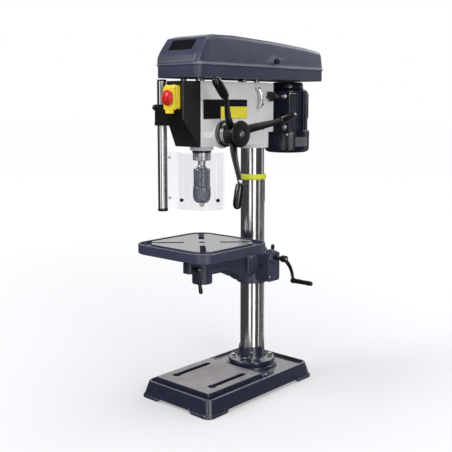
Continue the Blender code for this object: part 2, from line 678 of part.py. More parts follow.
def table():
    """Square table with a rim, a coolant channel, a machined land with diagonal slots, and its stem."""
    half = TABLE_HALF
    plate = rounded((-half, -half), (half, half), TABLE_CORNER, 6)
    piece = ride(prism("table", plate, TABLE_Z, TABLE_RIM_TOP, HOUSING_PAINT, (0, SPINDLE_Y, 0)),
                 TABLE_SPIN)
    inner = half - TABLE_RIM
    well = rounded((-inner, -inner), (inner, inner), TABLE_CORNER - TABLE_RIM, 6)
    subtract(piece, prism("table_channel", well, TABLE_TOP - CHANNEL_DEPTH, TABLE_TOP + CUT, None,
                          (0, SPINDLE_Y, 0)))
    land = TABLE_LAND_HALF
    clip = land - TABLE_LAND_CLIP
    outline = [(-clip, -land), (clip, -land), (land, -clip), (land, clip), (clip, land), (-clip, land),
               (-land, clip), (-land, -clip)]
    join(piece, prism("table_land", outline, TABLE_TOP - CHANNEL_DEPTH - 0.004, TABLE_TOP, None,
                      (0, SPINDLE_Y, 0)),
         disc("table_stem", STEM_R, ARM_BOSS_Z + 0.002, TABLE_Z + 0.002, at=(0, SPINDLE_Y, 0)))
    outer = (land - TABLE_LAND_CLIP / 2) * sqrt(2) + 0.006
    for index in range(4):
        slot = prism("table_slot", stadium(TABLE_SLOT_INNER, outer, TABLE_SLOT_WIDTH / 2), TABLE_Z - CUT,
                     TABLE_TOP + CUT, None, (0, SPINDLE_Y, 0))
        slot.rotation_euler = (0, 0, radians(45 + 90 * index))
        subtract(piece, slot)
    subtract(piece, disc("table_hole", TABLE_HOLE_R, ARM_BOSS_Z - CUT, TABLE_TOP + CUT,
                         at=(0, SPINDLE_Y, 0), steps=ROUND))
    under = half - TABLE_WALL
    rib, hub, turn = TABLE_RIB / 2, ARM_BOSS_R + TABLE_WALL, TABLE_CORNER - TABLE_WALL
    lean = asin(rib / hub)
    outline = [(under, rib)]
    outline += [(under - turn + turn * cos(radians(a)), under - turn + turn * sin(radians(a)))
                for a in range(0, 91, 15)]
    outline += [(rib, under)]
    spread = pi / 2 - 2 * lean
    outline += [(hub * cos(lean + spread * k / 4), hub * sin(lean + spread * k / 4)) for k in range(4, -1, -1)]
    for index in range(4):
        pocket = prism("table_pocket", outline, TABLE_Z - CUT, TABLE_Z + POCKET_DEPTH, None,
                       (0, SPINDLE_Y, 0))
        pocket.rotation_euler = (0, 0, radians(90 * index))
        subtract(piece, pocket)


def head_casting():
    """Head with its column socket, quill barrel, feed cross tube and the bosses under the belt housing."""
    body = rounded((-HEAD_HALF, HEAD_FRONT), (HEAD_HALF, 0.020), 0.005, 2)
    head = ride(prism("head_casting", body, HEAD_Z, HEAD_TOP, HEAD_PAINT), ROOT)
    lug = rounded((-HEAD_HALF + 0.0004, -0.020), (HEAD_HALF - 0.0004, HEAD_REAR), 0.008, 2)
    join(head, disc("head_sleeve", HEAD_SLEEVE_R, HEAD_SLEEVE_Z, HEAD_TOP - 0.002, steps=FINE),
         prism("rear_lug", lug, REAR_LUG_Z, HEAD_TOP - 0.001, None))
    wall = HEAD_WALL
    chamber_rear = -COLUMN_R - 0.014
    subtract(head, block("head_chamber", (-HEAD_HALF + wall, HEAD_FRONT + wall, HEAD_Z + 0.008),
                         (HEAD_HALF - wall, chamber_rear, HEAD_TOP + CUT)))
    bosses = [disc("quill_barrel", NOSE_R, NOSE_Z, HEAD_TOP - 0.012, at=(0, SPINDLE_Y, 0)),
              disc("feed_tube", FEED_SHAFT_R + 0.007, -HEAD_HALF + 0.002, FEED_BOSS_X - 0.003,
                   at=(0, FEED_Y, FEED_Z), axis="X", steps=PLAIN),
              disc("feed_boss", FEED_BOSS_R, HEAD_HALF - wall + 0.001, FEED_BOSS_X, at=(0, FEED_Y, FEED_Z),
                   axis="X")]
    for x, y in ((-0.030, HEAD_FRONT + 0.012), (0.030, HEAD_FRONT + 0.012), (-0.032, -0.020),
                 (0.032, -0.020)):
        bosses.append(disc("tray_boss", 0.009, HEAD_TOP - 0.030, TRAY_Z - GAP, at=(x, y, 0), steps=SMALL))
    join(head, *bosses)
    bores = [disc("column_socket", COLUMN_R + GAP, HEAD_SLEEVE_Z - CUT, COLUMN_TOP + GAP, steps=FINE),
             disc("quill_bore", QUILL_R + RUN, NOSE_Z - CUT, HEAD_TOP + CUT, at=(0, SPINDLE_Y, 0)),
             disc("feed_bore", FEED_SHAFT_R + RUN, -HEAD_HALF - CUT, FEED_BOSS_X + CUT,
                  at=(0, FEED_Y, FEED_Z), axis="X", steps=PLAIN),
             disc("tension_bore", 0.006 + RUN, HEAD_HALF - 0.016, HEAD_HALF + CUT,
                  at=(0, LEVER_Y, LEVER_Z), axis="X", steps=SMALL),
             disc("slide_lock_bore", 0.004 + RUN, ROD_X, HEAD_HALF + CUT,
                  at=(0, KNOB_Y, ROD_Z), axis="X", steps=TINY)]
    for side in (-1, 1):
        bores.append(disc("rod_bore", ROD_R + RUN, chamber_rear - CUT, HEAD_REAR + CUT,
                          at=(side * ROD_X, 0, ROD_Z), axis="Y", steps=SMALL))
    subtract(head, *bores)


def front_cover():
    """Moulded cover on the head's front, flat in front, flared at the sides, with a sloping chin."""
    back = HEAD_FRONT - GAP

    def plan(inset):
        return [(-HEAD_HALF + inset, back + 2 * inset), (-COVER_HALF + inset * 0.8, COVER_FRONT + inset),
                (COVER_HALF - inset * 0.8, COVER_FRONT + inset), (HEAD_HALF - inset, back + 2 * inset)]

    top = HEAD_TOP - 0.0005
    cover = ride(prism("front_cover", plan(0), HEAD_Z, top, BLACK_PLASTIC), ROOT)
    chin = [(COVER_FRONT - CUT * 2, CHIN_Z), (COVER_FRONT, CHIN_Z), (COVER_FRONT + CHIN_BACK, HEAD_Z),
            (COVER_FRONT + CHIN_BACK, HEAD_Z - 0.02), (COVER_FRONT - CUT * 2, HEAD_Z - 0.02)]
    cut = loft("chin_cut", [[(x, y, z) for y, z in chin] for x in (-0.1, 0.1)], None)
    subtract(cover, cut)
    wall = COVER_WALL
    slope = (CHIN_Z - HEAD_Z) / CHIN_BACK
    rise = wall * sqrt(1 + slope * slope)
    room = []
    for y, half in ((COVER_FRONT + wall, COVER_HALF - wall), (back + CUT, HEAD_HALF - wall + 0.0006)):
        floor = max(HEAD_Z + wall, CHIN_Z + rise - slope * (y - COVER_FRONT))
        room.append([(-half, y, floor), (half, y, floor), (half, y, top - wall), (-half, y, top - wall)])
    middle_y = COVER_FRONT + (CHIN_Z + rise - HEAD_Z - wall) / slope
    share = (middle_y - COVER_FRONT - wall) / (back + CUT - COVER_FRONT - wall)
    half = (COVER_HALF - wall) + share * (HEAD_HALF + 0.0006 - COVER_HALF)
    if share < 1:
        room.insert(1, [(-half, middle_y, HEAD_Z + wall), (half, middle_y, HEAD_Z + wall),
                        (half, middle_y, top - wall), (-half, middle_y, top - wall)])
    subtract(cover, loft("cover_room", room, None))


def switch():
    """Safety switch: box with two buttons under a hinged flap that carries the stop knob."""
    back = COVER_FRONT - GAP
    face = COVER_FRONT - SWITCH_DEPTH
    shell = rounded((-SWITCH_HALF, SWITCH_Z), (SWITCH_HALF, SWITCH_TOP), 0.005, 2)
    box = ride(loft("switch_box", [[(x, y, z) for x, z in shell] for y in (face, back)], YELLOW), ROOT)
    for name, z, proud, paint in (("start_button", START_Z, 0.001, GREEN),
                                  ("stop_button", STOP_Z, -0.002, RED)):
        subtract(box, disc(name + "_well", BUTTON_R + RUN, face - CUT, face + 0.010, at=(0, 0, z),
                           axis="Y", steps=SMALL))
        ride(disc(name, BUTTON_R, face - proud, face + 0.0065, paint, (0, 0, z), "Y", SMALL), ROOT)
    flap_back = face - 0.0014
    flap_front = face - FLAP_THICK
    outline = rounded((-SWITCH_HALF + 0.001, SWITCH_Z - 0.003), (SWITCH_HALF - 0.001, SWITCH_TOP - 0.001),
                      0.005, 2)
    flap = ride(loft("switch_flap", [[(x, y, z) for x, z in outline] for y in (flap_front, flap_back)],
                     YELLOW), FLAP_AXIS)
    tab = rounded((-0.014, SWITCH_Z - 0.012), (0.014, SWITCH_Z), 0.003, 2)
    join(flap, loft("flap_tab",
                    [[(x, y, z) for x, z in tab] for y in (flap_front + 0.001, flap_back - 0.001)], None))
    subtract(flap, disc("stop_bore", 0.0055 + RUN, flap_front - CUT, flap_back + CUT, at=(0, 0, STOP_Z),
                        axis="Y", steps=SMALL))
    rim = flap_front - 0.004
    ride(lathe("stop_knob", [(0, rim - 0.011), (0.010, rim - 0.010), (0.0165, rim - 0.007),
                             (STOP_R, rim - 0.001),
                             (STOP_R, rim), (0.0055, rim), (0.0055, flap_back - 0.0002),
                             (0, flap_back - 0.0002)],
               RED, (0, 0, STOP_Z), "Y", ROUND), STOP_AXIS)


def guard():
    """Post in its clamp, the clear curved shield with its flange, and the sliding inner shield."""
    flare = Vector((COVER_HALF - HEAD_HALF, HEAD_FRONT - COVER_FRONT)).normalized()
    outward = Vector((-flare.y, flare.x))
    start = Vector((-COVER_HALF, COVER_FRONT))
    near = start + flare * 0.010 + outward * GAP
    far = start + flare * 0.050 + outward * GAP
    web = [tuple(near), tuple(far), (POST_X + 0.004, POST_Y + 0.0205), (POST_X - 0.004, POST_Y - 0.0205)]
    clamp = ride(disc("post_bracket", CLAMP_R, CLAMP_Z, CLAMP_TOP, BLACK_PLASTIC, (POST_X, POST_Y, 0),
                      steps=ROUND), ROOT)
    join(clamp, prism("bracket_web", web, CLAMP_Z + 0.001, CLAMP_TOP - 0.001, None))
    subtract(clamp, disc("post_bore", POST_R + RUN, CLAMP_Z - CUT, CLAMP_TOP + CUT, at=(POST_X, POST_Y, 0),
                         steps=ROUND),
             disc("post_lock_bore", 0.003 + RUN, -CLAMP_R - CUT, -POST_R, at=(POST_X, POST_Y, 0.866),
                  axis="X", steps=TINY))
    post = ride(disc("guard_post", POST_R, POST_Z + GAP, POST_TOP, STEEL, (POST_X, POST_Y, 0),
                     steps=ROUND), POST_HEIGHT)
    subtract(post, block("post_groove", (POST_X + 0.0095, POST_Y - 0.0018, POST_Z - CUT),
                         (POST_X + 0.02, POST_Y + 0.0018, POST_TOP + CUT)))
    ride(lathe("post_foot", [(0, POST_Z - 0.008), (POST_R + 0.0005, POST_Z - 0.008),
                             (POST_R + 0.001, POST_Z - 0.006),
                             (POST_R + 0.001, POST_Z), (0, POST_Z)], BLACK_PLASTIC, (POST_X, POST_Y, 0),
                             "Z", ROUND), POST_HEIGHT)
    knob_x = -CLAMP_R - 0.0005
    ride(lathe("post_lock_knob", [(0, knob_x - 0.015), (0.007, knob_x - 0.015), (0.0095, knob_x - 0.012),
                                  (0.0095, knob_x - 0.005), (0.006, knob_x - 0.001),
                                  (0.003, knob_x - 0.001),
                                  (0.003, -POST_R - 0.0008), (0, -POST_R - 0.0008)],
               BLACK_PLASTIC, (POST_X, POST_Y, 0.866), "X", SMALL), POST_LOCK)

    centre = (0, SPINDLE_Y)
    outer = arc(centre, GUARD_R, GUARD_FROM, GUARD_TO, ROUND)
    inner = arc(centre, GUARD_R - GUARD_THICK, GUARD_TO, GUARD_FROM, ROUND)
    side = Vector((cos(radians(GUARD_FROM)), sin(radians(GUARD_FROM))))
    along = Vector((POST_X, POST_Y)) - Vector(outer[0])
    along.normalize()
    across = Vector((-along.y, along.x))
    tip = Vector((POST_X, POST_Y)) - along * (POST_R + GAP)
    half = GUARD_THICK / 2
    flange = [tuple(tip + across * half), tuple(tip - across * half)]
    if (Vector(flange[0]) - Vector(inner[-1])).length > (Vector(flange[1]) - Vector(inner[-1])).length:
        flange.reverse()
    outline = outer + inner + flange
    shield = ride(prism("guard_shield", outline, GUARD_Z, GUARD_TOP, CLEAR), GUARD_SWING)
    smooth(shield)
    for angle in EXTENSION_SLOTS:
        spot = radians(angle)
        hole = disc("shield_hole", 0.0022, GUARD_R - 0.01, GUARD_R + 0.01, steps=TINY)
        hole.location = (centre[0], centre[1], 0.603)
        hole.rotation_euler = (0, pi / 2, spot)
        subtract(shield, hole)
    slide_r = GUARD_R - EXTENSION_INSET
    outer = arc(centre, slide_r, GUARD_FROM + 16, GUARD_TO - 4, 26)
    inner = arc(centre, slide_r - 0.0025, GUARD_TO - 4, GUARD_FROM + 16, 26)
    inner_shield = ride(prism("guard_extension", outer + inner, GUARD_Z + 0.002, GUARD_TOP - 0.004, CLEAR),
                        EXTENSION_SLIDE)
    smooth(inner_shield)
    for angle in EXTENSION_SLOTS:
        low = 0.600
        high = 0.722
        slot = prism("shield_slot", stadium(low - 0.661, high - 0.661, SHIELD_SLOT_WIDTH / 2),
                     slide_r - 0.008, slide_r + 0.008, None)
        slot.location = (centre[0], centre[1], 0.661)
        slot.rotation_euler = (pi / 2, 0, radians(angle) + pi / 2)
        subtract(inner_shield, slot)


def quill_parts():
    """Quill with its rack, the lower bearing, spindle and chuck."""
    flat = FEED_Y - SPINDLE_Y - FEED_PITCH_R
    pocket = QUILL_Z + BEARING_HEIGHT + 0.001
    quill = ride(lathe("quill", [(QUILL_BORE, pocket), (BEARING_R + GAP, pocket),
                                 (BEARING_R + GAP, QUILL_Z),
                                 (QUILL_R - 0.001, QUILL_Z), (QUILL_R, QUILL_Z + 0.001),
                                 (QUILL_R, QUILL_TOP),
                                 (QUILL_BORE, QUILL_TOP)], STEEL, (0, SPINDLE_Y, 0), "Z", ROUND),
                                 QUILL_AXIS)
    low = FEED_Z - 0.020
    high = FEED_Z + TRAVEL + 0.020
    reach = FEED_Y - SPINDLE_Y - FEED_SHAFT_R - RUN
    cuts = [block("quill_crest", (-RACK_HALF - 0.002, SPINDLE_Y + flat + 0.0009, low),
                  (RACK_HALF + 0.002, SPINDLE_Y + 0.04, high))]
    for side in (-1, 1):
        edges = sorted((side * RACK_HALF, side * 0.04))
        cuts.append(block("quill_flat", (edges[0], SPINDLE_Y + reach, low),
                          (edges[1], SPINDLE_Y + 0.04, high)))
    pitch = 2 * pi * FEED_PITCH_R / FEED_TEETH
    count = int((high - FEED_Z) / pitch)
    for index in range(-2, count):
        middle = FEED_Z + pitch * index
        notch = [(flat - 0.0018, middle - 0.0018), (flat + 0.003, middle - 0.0028),
                 (flat + 0.003, middle + 0.0028),
                 (flat - 0.0018, middle + 0.0018)]
        rings = [[(x, SPINDLE_Y + y, z) for y, z in notch] for x in (-RACK_HALF - 0.002, RACK_HALF + 0.002)]
        cuts.append(loft("rack_notch", rings, None))
    subtract(quill, *cuts)
    ride(tube("quill_bearing", BEARING_R, SPINDLE_R + GAP, QUILL_Z + 0.0003, QUILL_Z + BEARING_HEIGHT,
              DARK_STEEL,
              (0, SPINDLE_Y, 0), steps=ROUND), QUILL_AXIS)
    neck = QUILL_Z + BEARING_HEIGHT + 0.003
    ride(lathe("spindle", [(0, CHUCK_TOP - 0.028), (NOSE_TAPER_R - 0.001, CHUCK_TOP - 0.028),
                           (NOSE_TAPER_R, CHUCK_TOP + GAP),
                           (SPINDLE_R + 0.004, CHUCK_TOP + GAP), (SPINDLE_R + 0.004, CHUCK_TOP + 0.004),
                           (SPINDLE_R, CHUCK_TOP + 0.007), (SPINDLE_R, neck), (0.0095, neck + 0.002),
                           (0.0095, SPINDLE_TOP), (0, SPINDLE_TOP)], STEEL, (0, SPINDLE_Y, 0), "Z", PLAIN),
                           SPINDLE_AXIS)


def chuck():
    """Keyless chuck: body with three jaw channels, the turning sleeve and three jaws."""
    top = CHUCK_TOP
    core_low = CHUCK_NOSE_Z + 0.008
    body = ride(lathe("chuck_body", [(0, top - 0.030), (NOSE_TAPER_R - 0.0006, top - 0.030),
                                     (NOSE_TAPER_R + GAP, top),
                                     (CHUCK_R - 0.002, top), (CHUCK_R, top - 0.002), (CHUCK_R, top - 0.013),
                                     (CHUCK_R - 0.0012, top - 0.0145),
                                     (CHUCK_R - 0.0012, CHUCK_SPLIT + GAP),
                                     (CHUCK_CORE_R, CHUCK_SPLIT + GAP), (CHUCK_CORE_R, core_low + 0.012),
                                     (0.0125, core_low), (0, core_low)], DARK_STEEL, (0, SPINDLE_Y, 0),
                                     "Z", ROUND), SPINDLE_AXIS)
    ride(lathe("chuck_sleeve", [(CHUCK_CORE_R + RUN, CHUCK_SPLIT), (CHUCK_SLEEVE_R - 0.001, CHUCK_SPLIT),
                                (CHUCK_SLEEVE_R, CHUCK_SPLIT - 0.002),
                                (CHUCK_SLEEVE_R, CHUCK_NOSE_Z + 0.018),
                                (CHUCK_SLEEVE_R - 0.003, CHUCK_NOSE_Z + 0.007), (0.0155, CHUCK_NOSE_Z),
                                (0.0122, CHUCK_NOSE_Z), (0.0130 + RUN, core_low),
                                (CHUCK_CORE_R + RUN, core_low + 0.012)],
               DARK_STEEL, (0, SPINDLE_Y, 0), "Z", ROUND), CHUCK_AXIS)
    subtract(body, disc("drill_bore", 0.0042, core_low - CUT, core_low + 0.030, at=(0, SPINDLE_Y, 0),
                        steps=SMALL))
    lean = radians(JAW_LEAN)
    for index in range(3):
        turn = radians(90 + 120 * index)

        def bar(name, half, start, length, paint):
            rings = []
            for share in (start, length):
                out = JAW_OFFSET + share * sin(lean)
                z = JAW_END + share * cos(lean)
                square = [(-half, -half), (half, -half), (half, half), (-half, half)]
                rings.append([((out + r) * cos(turn) - t * sin(turn),
                               (out + r) * sin(turn) + t * cos(turn), z)
                              for r, t in square])
            return loft(name, rings, paint, (0, SPINDLE_Y, 0))

        subtract(body, bar("jaw_channel", JAW_WIDTH / 2 + RUN, 0.0, JAW_LENGTH + JAW_TRAVEL + 0.001, None))
        ride(bar("chuck_jaw_%d" % (index + 1), JAW_WIDTH / 2, 0.0, JAW_LENGTH, STEEL), SPINDLE_AXIS)


def feed_parts():
    """Pinion shaft, depth dial, hub with its cap, three cranked arms with grips, and the spring housing."""
    axle = (0, FEED_Y, FEED_Z)
    tooth_half = RACK_HALF + 0.0012
    shaft = ride(prism("feed_shaft", toothed(FEED_TEETH, FEED_PITCH_R), -tooth_half, tooth_half, STEEL,
                       axle, "X"), FEED_AXIS)
    side_low = tooth_half - 0.0003
    join(shaft, lathe("feed_shaft_right", [(0, side_low), (FEED_SHAFT_R, side_low),
                                           (FEED_SHAFT_R, FEED_BOSS_X - 0.001),
                                           (FEED_END_R, FEED_BOSS_X - 0.001), (FEED_END_R, HUB_X - 0.012),
                                           (0, HUB_X - 0.012)],
                      None, axle, "X", PLAIN),
         lathe("feed_shaft_left", [(0, -0.062), (0.006, -0.062), (0.006, -HEAD_HALF + 0.002),
                                   (FEED_SHAFT_R, -HEAD_HALF + 0.002),
                                   (FEED_SHAFT_R, -side_low), (0, -side_low)], None, axle, "X", PLAIN))
    bore = FEED_END_R + RUN
    low = FEED_BOSS_X + GAP
    ride(lathe("depth_dial", [(bore, low), (DIAL_R, low), (DIAL_R, low + 0.011),
                              (DIAL_R - 0.005, low + 0.012),
                              (DIAL_R - 0.006, DIAL_X - 0.001), (DIAL_R - 0.007, DIAL_X), (bore, DIAL_X)],
               STEEL, axle, "X", ROUND), DIAL_AXIS)
    low = DIAL_X + GAP
    fit = FEED_END_R + GAP
    end = HUB_X - 0.011
    ride(lathe("feed_hub", [(fit, low), (HUB_R - 0.003, low), (HUB_R, low + 0.004), (HUB_R, HUB_X - 0.004),
                            (HUB_R - 0.003, HUB_X),
                            (CAP_R - 0.002, HUB_X), (CAP_R, HUB_X + 0.002), (CAP_R, CAP_X - 0.003),
                            (CAP_R - 0.006, CAP_X),
                            (0, CAP_X), (0, end), (fit, end)], BLACK_PLASTIC, axle, "X", ROUND), FEED_AXIS)
    ride(lathe("spring_housing", [(0.0068, -HEAD_HALF - GAP), (0.034, -HEAD_HALF - GAP),
                                  (0.034, -HEAD_HALF - 0.022),
                                            (0.031, -HEAD_HALF - 0.026), (0, -HEAD_HALF - 0.026),
                                            (0, -HEAD_HALF - 0.023),
                                            (0.0300, -HEAD_HALF - 0.023), (0.0300, -HEAD_HALF - 0.003),
                                            (0.0068, -HEAD_HALF - 0.003)],
                         DARK_STEEL, axle, "X", ROUND), ROOT)

    for index, angle in enumerate(ARM_ANGLES):
        out = Vector((0, sin(radians(angle)), cos(radians(angle))))
        sideways = Vector((1, 0, 0)).cross(out)
        stations = ((HUB_R + GAP, ARM_ROOT_X, 0.0140, 0.0095), (0.060, ARM_ROOT_X + 0.010, 0.0125, 0.0080),
                    (0.100, ARM_ROOT_X + 0.031, 0.0105, 0.0072), (0.128, ARM_KNEE_X - 0.006, 0.0085,
                                                                  0.0068),
                    (ARM_KNEE_R, ARM_KNEE_X, 0.0078, 0.0066))
        rings = []
        for radius, x, wide, thick in stations:
            middle = Vector(axle) + Vector((x, 0, 0)) + out * radius
            rings.append([middle + sideways * wide * cos(t) + Vector((1, 0, 0)) * thick * sin(t)
                          for t in (2 * pi * k / 14 for k in range(14))])
        arm = ride(loft("feed_arm_%d" % (index + 1), rings, BLACK_PLASTIC), FEED_AXIS)
        smooth(arm, 50)
        knee = Vector(axle) + Vector((ARM_KNEE_X, 0, 0)) + out * ARM_KNEE_R
        tip = Vector(axle) + Vector((ARM_END_X, 0, 0)) + out * ARM_END_R
        course = (tip - knee).normalized()
        length = (tip - knee).length
        stud = disc("grip_stud_%d" % (index + 1), 0.005, -0.006, length * 0.75, at=knee, steps=TINY)
        stud.rotation_euler = course.to_track_quat("Z", "Y").to_euler()
        join(arm, stud)
        radius = FEED_GRIP_R
        grip = lathe("feed_grip_%d" % (index + 1), [(0.005 + GAP, 0.0012), (radius - 0.004, 0.0012),
                                                    (radius - 0.001, 0.006),
                                                    (radius, 0.020), (radius, length - 0.012),
                                                    (radius * 0.72, length - 0.003),
                                                    (0, length), (0, length * 0.76),
                                                    (0.005 + GAP, length * 0.76)],
                     BLACK_PLASTIC, knee, "Z", PLAIN)
        grip.rotation_euler = course.to_track_quat("Z", "Y").to_euler()
        ride(grip, FEED_AXIS)


def belt_housing():
    """Pressed tray, and the lid hinged along its far edge with the knob that holds it shut."""
    corner = TRAY_CORNER
    low = (-TRAY_HALF, TRAY_FRONT)
    high = (TRAY_HALF, TRAY_REAR)
    tray = ride(prism("belt_tray", rounded(low, high, corner, 5), TRAY_Z, SEAM_Z - GAP, HOUSING_PAINT),
                ROOT)
    lip_low = (low[0] - LIP, low[1] - LIP)
    lip_high = (high[0] + LIP, high[1] + LIP)
    join(tray, prism("tray_lip", rounded(lip_low, lip_high, corner + LIP, 5), SEAM_Z - 0.0035,
                     SEAM_Z - GAP - 0.0001, None))
    in_low = (low[0] + SHEET, low[1] + SHEET)
    in_high = (high[0] - SHEET, high[1] - SHEET)
    subtract(tray, prism("tray_room", rounded(in_low, in_high, corner - SHEET, 5), TRAY_Z + SHEET,
                         SEAM_Z + CUT, None),
             disc("spindle_opening", 0.020, TRAY_Z - CUT, TRAY_Z + 0.01, at=(0, SPINDLE_Y, 0), steps=PLAIN),
             prism("motor_opening", stadium(MOTOR_Y - 0.035, MOTOR_Y + 0.022, 0.018), TRAY_Z - CUT,
                   TRAY_Z + 0.01, None),
             disc("idler_opening", 0.008 + RUN, TRAY_Z - CUT, TRAY_Z + 0.01, at=(0, IDLER_Y, 0)))

    stations = ((TRAY_FRONT, 0.0, SEAM_Z + 0.006), (TRAY_FRONT + 0.010, 0.001, SEAM_Z + 0.028),
                (TRAY_FRONT + LID_NOSE, 0.004, LID_PEAK - 0.010), (TRAY_FRONT + LID_NOSE + 0.030, 0.005,
                                                                   LID_PEAK - 0.002),
                (TRAY_FRONT + 0.16, 0.006, LID_PEAK), (TRAY_FRONT + 0.34, 0.006, LID_PEAK - 0.007),
                (TRAY_REAR - 0.10, 0.006, LID_REAR_TOP + 0.009), (TRAY_REAR - 0.018, 0.006, LID_REAR_TOP),
                (TRAY_REAR - 0.004, 0.005, LID_REAR_TOP - 0.014), (TRAY_REAR, 0.0, SEAM_Z + 0.004))

    def shell(inset, base):
        rings = []
        last = len(stations) - 1
        for index, (y, draft, top) in enumerate(stations):
            front = max(0.0, 1 - (y - TRAY_FRONT) / corner)
            rear = max(0.0, 1 - (TRAY_REAR - y) / corner)
            round_in = corner * (1 - sqrt(max(0.0, 1 - max(front, rear) ** 2)))
            half = TRAY_HALF - round_in * 0.8 - inset
            if index == 0:
                y += inset
            if index == last:
                y -= inset
            crown = top - inset
            height = crown - SEAM_Z
            edge = min(LID_EDGE, height * 0.45)
            narrow = half - draft * min(1.0, height / 0.06)
            side = [(half, base), (narrow, crown - edge), (narrow - edge * 0.3, crown - edge * 0.3),
                    (narrow - edge, crown)]
            ring = [(-x, y, z) for x, z in side] + [(x, y, z) for x, z in side[::-1]]
            rings.append(ring)
        return rings

    lid = ride(loft("belt_lid", shell(0.0, SEAM_Z), HOUSING_PAINT), LID_AXIS)
    subtract(lid, loft("lid_room", shell(SHEET, SEAM_Z - CUT), None))
    subtract(lid, disc("lid_knob_bore", 0.005 + RUN, TRAY_HALF - 0.02, TRAY_HALF + 0.01,
                       at=(0, 0.004, 1.004), axis="X", steps=SMALL))
    knob = TRAY_HALF + 0.0006
    ride(lathe("lid_knob", [(0, knob + 0.012), (0.006, knob + 0.012), (0.0085, knob + 0.009),
                            (0.0085, knob), (0.005, knob),
                            (0.005, knob - 0.012), (0, knob - 0.012)][::-1], BLACK_PLASTIC,
                            (0, 0.004, 1.004), "X", SMALL), LID_KNOB_AXIS)


def cone_radius(step, rising):
    """Radius of a cone pulley's step, counted from the bottom."""
    place = step if rising else STEPS - 1 - step
    return SMALL_R + STEP_GROWTH * place


def cone_pulley(name, y, rising, bore, carrier):
    profile = [(bore, PULLEY_Z)]
    for step in range(STEPS):
        radius = cone_radius(step, rising)
        low = PULLEY_Z + STEP * step
        profile += [(radius, low), (radius, low + STEP)]
    top = PULLEY_Z + STEP * STEPS
    profile += [(bore, top)]
    return ride(lathe(name, profile, STEEL, (0, y, 0), "Z", ROUND), carrier)


def belt(name, near_y, near_r, far_y, far_r, low):
    """A belt around two pulleys, as the ring between two tangent loops."""
    def loop(grow):
        small = near_r + grow
        big = far_r + grow
        lean = asin((small - big) / (far_y - near_y)) * 180 / pi
        return (arc((0, near_y), small, 180 - lean, 360 + lean,
                    14) + arc((0, far_y), big, lean, 180 - lean, 14))

    inner = loop(GAP * 2)
    outer = loop(BELT_THICK)
    shape = bmesh.new()
    rows = [[shape.verts.new((x, y, z)) for x, y in line]
            for line, z in ((inner, low), (outer, low), (outer, low + BELT_HEIGHT),
                            (inner, low + BELT_HEIGHT))]
    for row, after in zip(rows, rows[1:] + rows[:1]):
        for here in range(len(row)):
            there = (here + 1) % len(row)
            shape.faces.new((row[here], row[there], after[there], after[here]))
    return smooth(ride(make(name, shape, RUBBER), ROOT), 50)


def belt_drive():
    cone_pulley("spindle_pulley", SPINDLE_Y, False, 0.0095 + RUN, SPINDLE_PULLEY_AXIS)
    cone_pulley("motor_pulley", MOTOR_Y, False, SHAFT_R + GAP, MOTOR_AXIS)
    ride(lathe("idler_pulley", [(0, TRAY_Z - 0.006), (0.008, TRAY_Z - 0.006), (0.008, PULLEY_Z),
                                        (cone_radius(0, True), PULLEY_Z),
                                        (cone_radius(0, True), PULLEY_Z + STEP),
                                        (cone_radius(1, True), PULLEY_Z + STEP),
                                        (cone_radius(1, True), PULLEY_Z + 2 * STEP),
                                        (cone_radius(2, True), PULLEY_Z + 2 * STEP),
                                        (cone_radius(2, True), PULLEY_Z + 3 * STEP),
                                        (cone_radius(3, True), PULLEY_Z + 3 * STEP),
                                        (cone_radius(3, True), PULLEY_Z + 4 * STEP),
                                        (0, PULLEY_Z + 4 * STEP)], STEEL, (0, IDLER_Y, 0), "Z", ROUND),
                                        IDLER_AXIS)
    margin = (STEP - BELT_HEIGHT) / 2
    belt("front_belt", SPINDLE_Y, cone_radius(1, False), IDLER_Y, cone_radius(1, True),
         PULLEY_Z + STEP + margin)
    belt("rear_belt", IDLER_Y, cone_radius(2, True), MOTOR_Y, cone_radius(2, False),
         PULLEY_Z + 2 * STEP + margin)


